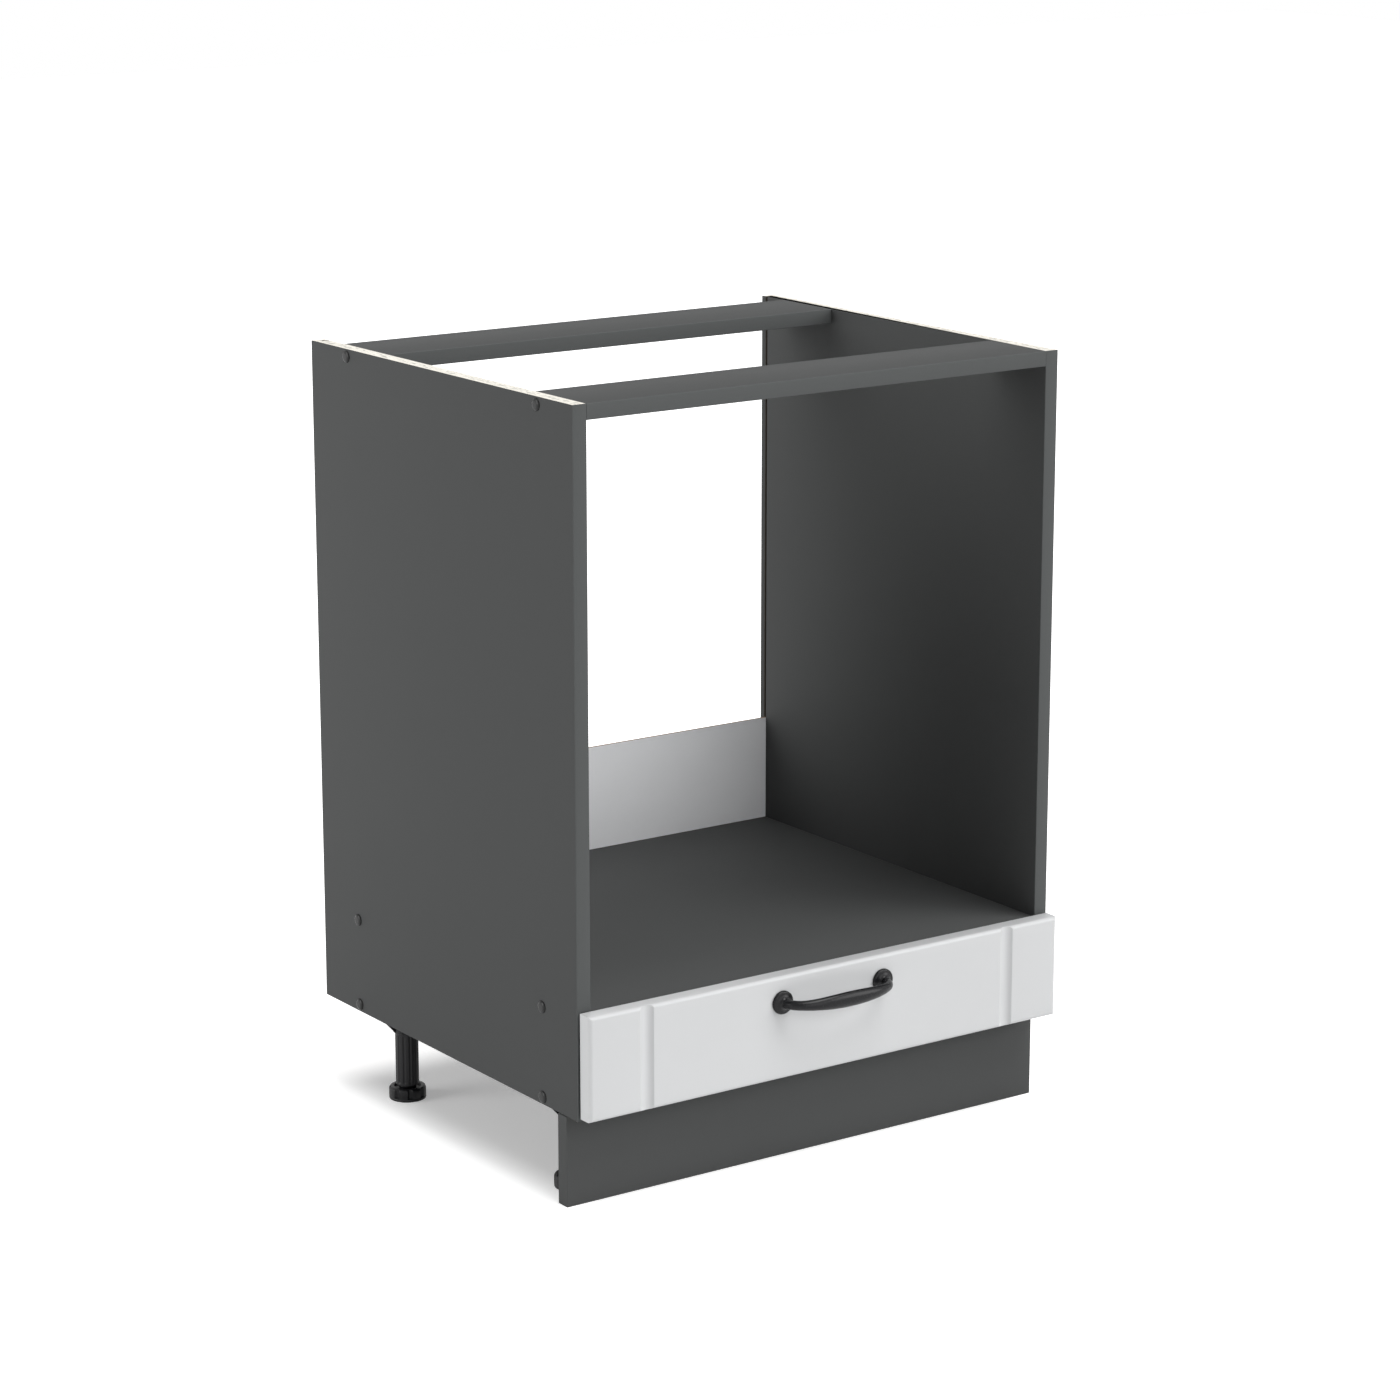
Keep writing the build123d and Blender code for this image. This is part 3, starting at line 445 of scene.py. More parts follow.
def folded(line: Iterable, bend: float, thickness: float) -> Array:
    """Outline of a bent sheet: the rounded middle line moved half the thickness to each side.

    Args:
        line: Corners (n, 2) of the middle line.
        bend: Radius of the middle line at its bends.
        thickness: Thickness of the sheet.

    Returns:
        Closed outline (m, 2).
    """
    p = np.asarray(line, float)
    bends = rounded(p, bend, 4).reshape(len(p), -1, 2)[1:-1].reshape(-1, 2)
    middle = np.concatenate([p[:1], bends, p[-1:]])
    step = np.gradient(middle, axis=0)
    step /= np.linalg.norm(step, axis=1, keepdims=True)
    off = np.stack([-step[:, 1], step[:, 0]], 1) * thickness / 2
    return np.concatenate([middle + off, (middle - off)[::-1]])


def beside_panel(outline: Array, side: Side) -> Array:
    """Carries an outline, given as distances from a side panel, to its place on x."""
    distance, height = outline.T
    return np.stack([side.value * (INNER_X - distance), height], 1)


def piece(skin: Skin, name: str, body: str, finishes: "Iterable[Finish]",
          nodes: Iterable[str], smooth: float = 35.0) -> None:
    """Puts a surface into the scene as a piece of the object.

    Args:
        skin: The closed surface.
        name: Name of the piece.
        body: CAD body that it moves with.
        finishes: Its finishes; a face's paint number picks one.
        nodes: CAD nodes that the piece stands for.
        smooth: Edges sharper than this angle, in degrees, stay sharp.
    """
    mesh = bpy.data.meshes.new(name)
    mesh.from_pydata(skin.points.tolist(), [], skin.faces)
    for finish in finishes:
        mesh.materials.append(finish.material())
    mesh.polygons.foreach_set("material_index", np.array(skin.paint, np.int32))
    mesh.polygons.foreach_set("use_smooth", np.ones(len(mesh.polygons), bool))
    mesh.set_sharp_from_angle(angle=math.radians(smooth))
    mesh.validate()
    mesh.update()
    thing = bpy.data.objects.new(name, mesh)
    bpy.context.scene.collection.objects.link(thing)
    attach(thing, body)
    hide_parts(*nodes)
    LOG.info("%s: %d faces on %s", name, len(skin.faces), body)


def face_normals(skin: Skin) -> Array:
    """Unit normal of every face, which is the cross product of two lines between corners.

    Args:
        skin: The surface.

    Returns:
        Array of shape (faces, 3).
    """
    picks = np.array([[f[0], f[len(f) // 3], f[2 * len(f) // 3]] for f in skin.faces])
    a, b, c = (skin.points[picks[:, i]] for i in range(3))
    normal = np.cross(b - a, c - a)
    return normal / np.maximum(np.linalg.norm(normal, axis=1, keepdims=True), 1e-12)


def face_middles(skin: Skin) -> Array:
    """Mean of the corners of every face."""
    return np.array([skin.points[f].mean(0) for f in skin.faces])


def looking(skin: Skin, *directions: str, least: float = SQUARE) -> Array:
    """Whether each face looks in one of the directions.

    Args:
        skin: The surface.
        directions: Each a sign and an axis, such as "-z".
        least: Least cosine between the direction and the normal.

    Returns:
        A truth value for each face.
    """
    normal, found = face_normals(skin), np.zeros(len(skin.faces), bool)
    for sign, axis in directions:
        found |= float(sign + "1") * normal[:, "xyz".index(axis)] > least
    return found


# Shader graphs


class Graph:
    """A shader node tree while it is wired."""

    def __init__(self, tree: bpy.types.NodeTree) -> None:
        """Keeps the tree and empties it."""
        self.tree = tree
        tree.nodes.clear()

    def add(self, kind: str, inputs: dict | None = None, **settings) -> bpy.types.Node:
        """Adds a node.

        Args:
            kind: Blender's type name, without the word ShaderNode in front.
            inputs: For each input's name or number, a value or an output socket.
            settings: Attributes of the node, which are set before its inputs.

        Returns:
            The node.
        """
        node = self.tree.nodes.new("ShaderNode" + kind)
        for key, value in settings.items():
            setattr(node, key, value)
        for key, value in (inputs or {}).items():
            self.feed(node.inputs[key], value)
        return node

    def feed(self, socket: bpy.types.NodeSocket, value) -> None:
        """Gives a socket a value, or a link if the value is an output socket."""
        if isinstance(value, bpy.types.NodeSocket):
            self.tree.links.new(value, socket)
        else:
            socket.default_value = value

    def maths(self, operation: str, *values, clamp: bool = False) -> bpy.types.NodeSocket:
        """Output of a Math node for the given values or sockets."""
        return self.add("Math", dict(enumerate(values)), operation=operation,
                        use_clamp=clamp).outputs[0]

    def ramp(self, value, low: float, high: float, to_low: float = 0.0,
             to_high: float = 1.0) -> bpy.types.NodeSocket:
        """A smooth step, whose slope is nothing at both ends.

        Args:
            value: What is mapped.
            low: Where the step starts.
            high: Where it ends.
            to_low: Result at and before the start.
            to_high: Result at and past the end.

        Returns:
            The result.
        """
        node = self.add("MapRange", interpolation_type="SMOOTHSTEP")
        for i, given in enumerate((value, low, high, to_low, to_high)):
            self.feed(node.inputs[i], given)
        return node.outputs[0]

    def blend(self, share, first, second) -> bpy.types.NodeSocket:
        """Mixes two colours.

        Args:
            share: How far the colour has gone from the first to the second, from 0 to 1.
            first: A colour.
            second: A colour.

        Returns:
            The mixed colour.
        """
        node = self.add("Mix", data_type="RGBA")
        for i, given in ((0, share), (6, first), (7, second)):
            self.feed(node.inputs[i], given)
        return node.outputs[2]


def group_sockets(tree: bpy.types.NodeTree, inputs: dict, outputs: dict) -> None:
    """Args:
        tree: The group.
        inputs: For each name, its kind (Vector, Float or Color) and its default value.
        outputs: For each name, its kind.
    """
    for name, (kind, value) in inputs.items():
        made = tree.interface.new_socket(name, in_out="INPUT", socket_type="NodeSocket" + kind)
        if value is not None:
            made.default_value = value
    for name, kind in outputs.items():
        tree.interface.new_socket(name, in_out="OUTPUT", socket_type="NodeSocket" + kind)


def shared_group(name: str, inputs: dict, outputs: dict,
                 wire: Callable[[Graph, bpy.types.Node], dict]) -> bpy.types.NodeTree:
    """A node group that is built once and then found by its name.

    Args:
        name: Name of the group.
        inputs: For each input, its kind and default value.
        outputs: For each output, its kind.
        wire: Given the graph and the group's input node, returns a socket for each output.

    Returns:
        The group.
    """
    known = bpy.data.node_groups.get(name)
    if known:
        return known
    tree = bpy.data.node_groups.new(name, "ShaderNodeTree")
    group_sockets(tree, inputs, outputs)
    graph = Graph(tree)
    given = tree.nodes.new("NodeGroupInput")
    made = tree.nodes.new("NodeGroupOutput")
    for key, socket in wire(graph, given).items():
        tree.links.new(socket, made.inputs[key])
    return tree


def mottle_group() -> bpy.types.NodeTree:
    """Broad, soft unevenness of a surface: two sizes of noise added together, from -1 to 1."""
    def wire(graph: Graph, given: bpy.types.Node) -> dict:
        """Adds a large noise and half as much of one three times finer."""
        place, size = given.outputs["Place"], given.outputs["Size"]
        scale = graph.maths("DIVIDE", 1.0, size)
        broad = graph.add("TexNoise", {"Vector": place, "Scale": scale, "Detail": 2.0})
        fine = graph.add("TexNoise", {"Vector": place, "Detail": 3.0,
                                      "Scale": graph.maths("MULTIPLY", scale, 3.3)})
        total = graph.maths("MULTIPLY_ADD", fine.outputs[0], 0.5, broad.outputs[0])
        return {"Value": graph.maths("MULTIPLY", graph.maths("SUBTRACT", total, 0.75), 2.5)}

    return shared_group("mottle", {"Place": ("Vector", None), "Size": ("Float", 0.1)},
                        {"Value": "Float"}, wire)


def pores_group() -> bpy.types.NodeTree:
    """Fine pressed or moulded grain: cells of a Voronoi pattern softened by noise, 0 to 1."""
    def wire(graph: Graph, given: bpy.types.Node) -> dict:
        """Bends the cells with noise, and lowers the surface towards each cell's edge."""
        place, size = given.outputs["Place"], given.outputs["Size"]
        scale = graph.maths("DIVIDE", 1.0, size)
        noise = graph.add("TexNoise", {"Vector": place, "Scale": scale, "Detail": 3.0,
                                       "Roughness": 0.6})
        cells = graph.add("TexVoronoi", {"Vector": place, "Scale": scale, "Randomness": 1.0},
                          feature="SMOOTH_F1")
        height = graph.maths("MULTIPLY_ADD", cells.outputs["Distance"], -0.6,
                             noise.outputs[0])
        pits = graph.ramp(cells.outputs["Distance"], 0.55, 0.8)
        return {"Height": height, "Pits": pits}

    return shared_group("pressed_grain", {"Place": ("Vector", None), "Size": ("Float", 0.0006)},
                        {"Height": "Float", "Pits": "Float"}, wire)


def chips_group() -> bpy.types.NodeTree:
    """Sawn chipboard: flat chips of varied tone, coarse in the middle of the board and fine
    towards its faces, with small dark gaps between them."""
    def wire(graph: Graph, given: bpy.types.Node) -> dict:
        """Stretches two Voronoi patterns along the board and mixes them by the depth."""
        place, depth = given.outputs["Place"], given.outputs["Depth"]
        coarse = graph.add("TexVoronoi", {"Vector": place, "Scale": 420.0}, feature="F1")
        fine = graph.add("TexVoronoi", {"Vector": place, "Scale": 1300.0}, feature="F1")
        core = graph.ramp(depth, 0.35, 0.75, 1.0, 0.0)
        tone = graph.blend(core, fine.outputs["Color"], coarse.outputs["Color"])
        grey = graph.add("SeparateColor", {0: tone}).outputs[0]
        gaps = graph.maths("MULTIPLY", core, graph.ramp(coarse.outputs["Distance"], 0.55, 0.8))
        noise = graph.add("TexNoise", {"Vector": place, "Scale": 900.0, "Detail": 3.0})
        height = graph.maths("SUBTRACT", graph.maths("MULTIPLY_ADD", grey, 0.4,
                                                     noise.outputs[0]), gaps)
        return {"Tone": grey, "Gaps": gaps, "Height": height}

    return shared_group("sawn_chips", {"Place": ("Vector", None), "Depth": ("Float", 0.0)},
                        {"Tone": "Float", "Gaps": "Float", "Height": "Float"}, wire)


def fibres_group() -> bpy.types.NodeTree:
    """Long fibres along x: noise squeezed across them, with finer lines on top, 0 to 1."""
    def wire(graph: Graph, given: bpy.types.Node) -> dict:
        """Stretches noise along x and sharpens it."""
        stretch = graph.add("Mapping", {"Vector": given.outputs["Place"],
                                        "Scale": (60.0, 1600.0, 1600.0)})
        noise = graph.add("TexNoise", {"Vector": stretch.outputs[0], "Scale": 1.0,
                                       "Detail": 4.0})
        return {"Lines": graph.ramp(noise.outputs[0], 0.35, 0.65)}

    return shared_group("long_fibres", {"Place": ("Vector", None)}, {"Lines": "Float"}, wire)


def linear(red: float, green: float, blue: float) -> tuple[float, float, float, float]:
    """Linear colour of an sRGB colour, after the sRGB curve: a straight line near black, and
    above it a power of 2.4.

    Args:
        red: Red from 0 to 255.
        green: Green.
        blue: Blue.

    Returns:
        Red, green, blue and a full alpha, from 0 to 1.
    """
    value = np.array((red, green, blue)) / 255
    flat = np.where(value <= 0.04045, value / 12.92, ((value + 0.055) / 1.055) ** 2.4)
    return (*flat.tolist(), 1.0)


# Finishes


@dataclass(frozen=True)
class Finish:
    """A procedural finish. Its material is made once for each set of values.

    Attributes:
        name: Name of the material.
        colour: Colour from 0 to 255 in red, green and blue.
        roughness: Mean roughness.
        grain: Size of the fine grain.
        bump: Height of the grain.
        unevenness: Share by which tone varies over the surface.
        gloss: Specular level, where 0.5 is that of plain plastic.
        patch: Size of the patches of uneven tone.
        pit_dull: Roughness that the pits of the grain add.
        patch_dull: Roughness that the palest patches add.
    """

    name: str
    colour: tuple[float, float, float]
    roughness: float = 0.5
    grain: float = 0.0006
    bump: float = 0.00004
    unevenness: float = 0.04
    gloss: float = 0.5
    patch: ClassVar[float] = 0.09
    pit_dull: ClassVar[float] = 0.08
    patch_dull: ClassVar[float] = 0.03

    def material(self) -> bpy.types.Material:
        """The Blender material of this finish."""
        known = bpy.data.materials.get(self.name)
        if known:
            return known
        made = bpy.data.materials.new(self.name)
        made.use_nodes = True
        graph = Graph(made.node_tree)
        out = graph.add("OutputMaterial")
        shader = graph.add("BsdfPrincipled")
        graph.feed(out.inputs["Surface"], shader.outputs[0])
        shader.inputs["Specular IOR Level"].default_value = self.gloss
        place = graph.add("TexCoord").outputs["Object"]
        self.wire(graph, shader, place)
        made.diffuse_color = linear(*self.colour)
        return made

    def wire(self, graph: Graph, shader: bpy.types.Node, place: bpy.types.NodeSocket) -> None:
        """Joins the grain and the unevenness to the shader.

        Args:
            graph: The material's graph.
            shader: Its Principled shader.
            place: Object coordinates.
        """
        spread = self.mottle(graph, place)
        share = graph.maths("MULTIPLY_ADD", spread, 0.5, 0.5, clamp=True)
        tone = graph.blend(share, self.shade(1 - self.unevenness),
                           self.shade(1 + self.unevenness))
        grain = self.pores(graph, place)
        graph.feed(shader.inputs["Base Color"], tone)
        rough = graph.maths("MULTIPLY_ADD", grain.outputs["Pits"], self.pit_dull,
                            self.roughness)
        rough = graph.maths("MULTIPLY_ADD", spread, self.patch_dull, rough)
        graph.feed(shader.inputs["Roughness"], rough)
        self.bumped(graph, shader, self.relief(graph, place, grain.outputs["Height"]))

    def relief(self, graph: Graph, place: bpy.types.NodeSocket,
               grain: bpy.types.NodeSocket) -> bpy.types.NodeSocket:
        """Height of the surface, which here is the grain alone."""
        return grain

    def shade(self, by: float) -> tuple:
        """This finish's linear colour made lighter or darker by a factor."""
        return tuple(min(1.0, part * by) for part in linear(*self.colour)[:3]) + (1.0,)

    def mottle(self, graph: Graph, place: bpy.types.NodeSocket) -> bpy.types.NodeSocket:
        """Value of the shared mottle group at this finish's patch size."""
        return graph.add("Group", {"Place": place, "Size": self.patch},
                         node_tree=mottle_group()).outputs["Value"]

    def pores(self, graph: Graph, place: bpy.types.NodeSocket) -> bpy.types.Node:
        """The shared grain group at this finish's grain size."""
        return graph.add("Group", {"Place": place, "Size": self.grain},
                         node_tree=pores_group())

    def bumped(self, graph: Graph, shader: bpy.types.Node,
               height: bpy.types.NodeSocket) -> None:
        """Feeds a height to the shader's normal through a Bump node."""
        bump = graph.add("Bump", {"Height": height, "Strength": 0.6, "Distance": self.bump})
        graph.feed(shader.inputs["Normal"], bump.outputs[0])


@dataclass(frozen=True)
class Foil(Finish):
    """Satin foil drawn over fibreboard: a very fine grain and a slow waviness.

    Attributes:
        wave: Scale of the noise that makes the waviness.
        grain_share: Height of the grain as a share of the waviness.
    """

    wave: ClassVar[float] = 45.0
    grain_share: ClassVar[float] = 0.15

    def relief(self, graph: Graph, place: bpy.types.NodeSocket,
               grain: bpy.types.NodeSocket) -> bpy.types.NodeSocket:
        """Slow waviness of the foil with a little of the grain."""
        wave = graph.add("TexNoise", {"Vector": place, "Scale": self.wave, "Detail": 1.0})
        return graph.maths("MULTIPLY_ADD", grain, self.grain_share, wave.outputs[0])


@dataclass(frozen=True)
class SawnChipboard(Finish):
    """Raw sawn edge of a chipboard panel.

    Attributes:
        axis: Axis across the board's thickness.
        middle: Place of the board's middle on that axis; its size counts, not its sign.
        half: Half of the board's thickness.
        squeeze: Scale of the pattern along the board, against that across it.
        tones: Factors of the darkest chips, the palest chips and the gaps.
    """

    axis: int = 0
    middle: float = 0.292
    half: float = 0.008
    squeeze: ClassVar[float] = 0.35
    tones: ClassVar[tuple[float, float, float]] = (0.88, 1.06, 0.62)

    def wire(self, graph: Graph, shader: bpy.types.Node, place: bpy.types.NodeSocket) -> None:
        """Colours the chips by the shared group, with the depth measured from the middle."""
        part = graph.add("SeparateXYZ", {0: place}).outputs[self.axis]
        away = graph.maths("SUBTRACT", graph.maths("ABSOLUTE", part), self.middle)
        depth = graph.maths("DIVIDE", graph.maths("ABSOLUTE", away), self.half)
        stretch = [self.squeeze] * 3
        stretch[self.axis] = 1.0
        squeezed = graph.add("Mapping", {"Vector": place, "Scale": tuple(stretch)})
        chips = graph.add("Group", {"Place": squeezed.outputs[0], "Depth": depth},
                          node_tree=chips_group())
        dark, pale, gap = (self.shade(tone) for tone in self.tones)
        tone = graph.blend(chips.outputs["Tone"], dark, pale)
        tone = graph.blend(chips.outputs["Gaps"], tone, gap)
        graph.feed(shader.inputs["Base Color"], tone)
        shader.inputs["Roughness"].default_value = self.roughness
        self.bumped(graph, shader, chips.outputs["Height"])


@dataclass(frozen=True)
class Fibreboard(Finish):
    """Bare rear face of a hardboard: brown fibres with the print of a wire mesh.

    Attributes:
        fibre: Scale of the noise that makes the fibres.
        mesh: Waves of the print in 2 pi metres.
        mesh_share: Height of the print as a share of the fibres.
        patch_share: Share of the patches in the tone of the fibres.
        tones: Factors of the darkest and the palest fibres.
    """

    patch: ClassVar[float] = 0.03
    fibre: ClassVar[float] = 900.0
    mesh: ClassVar[float] = 3600.0
    mesh_share: ClassVar[float] = 0.3
    patch_share: ClassVar[float] = 0.15
    tones: ClassVar[tuple[float, float]] = (0.72, 1.3)

    def wire(self, graph: Graph, shader: bpy.types.Node, place: bpy.types.NodeSocket) -> None:
        """Crosses two waves for the mesh and lays fibres over them."""
        spread = self.mottle(graph, place)
        fibres = graph.add("TexNoise", {"Vector": place, "Scale": self.fibre, "Detail": 4.0,
                                        "Distortion": 1.5})
        share = graph.maths("MULTIPLY_ADD", spread, self.patch_share, fibres.outputs[0],
                            clamp=True)
        tone = graph.blend(share, *(self.shade(tone) for tone in self.tones))
        graph.feed(shader.inputs["Base Color"], tone)
        shader.inputs["Roughness"].default_value = self.roughness
        part = graph.add("SeparateXYZ", {0: place})
        wires = [graph.maths("SINE", graph.maths("MULTIPLY", part.outputs[i], self.mesh))
                 for i in (0, 2)]
        height = graph.maths("MULTIPLY_ADD", graph.maths("MULTIPLY", *wires),
                             self.mesh_share, fibres.outputs[0])
        self.bumped(graph, shader, height)


@dataclass(frozen=True)
class Metal(Finish):
    """Plated or bare metal with a fine, slightly streaky grain."""

    def wire(self, graph: Graph, shader: bpy.types.Node, place: bpy.types.NodeSocket) -> None:
        """Makes the plain wiring metallic."""
        super().wire(graph, shader, place)
        shader.inputs["Metallic"].default_value = 1.0


@dataclass(frozen=True)
class Cast(Finish):
    """Cast metal under a satin coat, with soft lumps under the grain.

    Attributes:
        lump: Scale of the noise that makes the lumps.
        grain_share: Height of the grain as a share of the lumps.
    """

    lump: ClassVar[float] = 260.0
    grain_share: ClassVar[float] = 0.35

    def relief(self, graph: Graph, place: bpy.types.NodeSocket,
               grain: bpy.types.NodeSocket) -> bpy.types.NodeSocket:
        """Soft lumps of the casting with some of the grain."""
        lumps = graph.add("TexNoise", {"Vector": place, "Scale": self.lump, "Detail": 2.0})
        return graph.maths("MULTIPLY_ADD", grain, self.grain_share, lumps.outputs[0])


@dataclass(frozen=True)
class Wood(Finish):
    """Plain beech with its fibres along x.

    Attributes:
        tones: Factors of the darkest and the palest fibres.
    """

    tones: ClassVar[tuple[float, float]] = (0.78, 1.1)

    def wire(self, graph: Graph, shader: bpy.types.Node, place: bpy.types.NodeSocket) -> None:
        """Draws the fibres with the shared group."""
        lines = graph.add("Group", {"Place": place},
                          node_tree=fibres_group()).outputs["Lines"]
        tone = graph.blend(lines, *(self.shade(tone) for tone in self.tones))
        graph.feed(shader.inputs["Base Color"], tone)
        shader.inputs["Roughness"].default_value = self.roughness
        self.bumped(graph, shader, lines)


@dataclass(frozen=True)
class ClearSoft(Finish):
    """Clear soft plastic.

    Attributes:
        clearness: Share of the light that passes in.
        ior: Index of refraction.
    """

    clearness: ClassVar[float] = 0.85
    ior: ClassVar[float] = 1.45

    def wire(self, graph: Graph, shader: bpy.types.Node, place: bpy.types.NodeSocket) -> None:
        """Lets light through the plain wiring."""
        super().wire(graph, shader, place)
        shader.inputs["Transmission Weight"].default_value = self.clearness
        shader.inputs["IOR"].default_value = self.ior


MELAMINE = Finish("grey_melamine", (74, 75, 75), 0.74, 0.0007, 0.00005, 0.03, 0.13)
BAND = Finish("thick_edge_band", (76, 78, 78), 0.6, 0.0005, 0.00003, 0.02, 0.2)
PALE_MELAMINE = Finish("pale_melamine", (186, 187, 189), 0.5, 0.0007, 0.00004, 0.02)
HARDBOARD_FACE = Finish("lacquered_hardboard", (241, 242, 244), 0.45, 0.0006, 0.00003, 0.02)
HARDBOARD_BACK = Fibreboard("bare_hardboard", (134, 98, 66), 0.85, bump=0.0001)
SIDE_EDGE = SawnChipboard("sawn_side_edge", (245, 241, 231), 0.9, bump=0.0002)
# Sawn chipboard darkened for the groove's walls: painted shade for the shade inside the groove.
GROOVE_PAINTED_SHADE = SawnChipboard("painted_shade_groove", (88, 82, 74), 0.9, bump=0.0001)
WHITE_FOIL = Foil("white_foil", (194, 195, 196), 0.38, 0.0004, 0.00012, 0.012)
CAP_PLASTIC = Finish("cap_plastic", (38, 39, 39), 0.22, 0.0005, 0.00002, 0.03, 0.18)
BEECH = Wood("beech_dowel", (205, 173, 138), 0.6, bump=0.00008)
ZINC = Metal("bright_zinc", (196, 198, 201), 0.3, 0.0009, 0.00003, 0.06)
BLACK_PLASTIC = Finish("black_moulded_plastic", (22, 22, 24), 0.4, 0.0008, 0.00007, 0.08, 0.25)
POWDER_COAT = Finish("grey_powder_coat", (172, 174, 176), 0.42, 0.0012, 0.00006, 0.02)
NYLON = Finish("moulded_nylon", (226, 226, 222), 0.35, 0.0008, 0.00004, 0.02)
CAST_BLACK = Cast("cast_black", (22, 22, 24), 0.26, 0.0011, 0.00018, 0.12, 0.2)
CLEAR = ClearSoft("clear_soft_plastic", (232, 234, 236), 0.15, 0.0008, 0.00002, 0.01)


def sawn_edge(name: str, axis: int, middle: float) -> SawnChipboard:
    """Sawn chipboard centred on the thickness of one board.

    Args:
        name: Name of the finish.
        axis: Axis across the board's thickness.
        middle: Place of the board's middle on that axis.

    Returns:
        The finish.
    """
    return SawnChipboard(name, SIDE_EDGE.colour, SIDE_EDGE.roughness, bump=0.00025,
                         axis=axis, middle=middle)


def lying_board(node: str, body: str, face: Finish, edges: Iterable[str],
                radius: float) -> None:
    """A lying board with sawn edges as a piece.

    Args:
        node: CAD node that it stands for, whose box it fills.
        body: CAD body that it moves with.
        face: Finish of its faces.
        edges: Directions in which its sawn edges look.
        radius: Rounding of its edges.
    """
    low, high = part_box(node)
    skin = node_slab(node, "x", radius)
    skin.painted(looking(skin, *edges))
    sawn = sawn_edge(f"sawn_edge_{node}", 2, (low.z + high.z) / 2)
    piece(skin, f"{node}_board", body, [face, sawn], [node])


def repaint(node: str, finish: Finish) -> None:
    """Gives a CAD node that stays visible the material of a finish."""
    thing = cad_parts[node]
    thing.data.materials.clear()
    thing.data.materials.append(finish.material())
    LOG.info("%s keeps its solid and gets %s", node, finish.name)


# Carcass


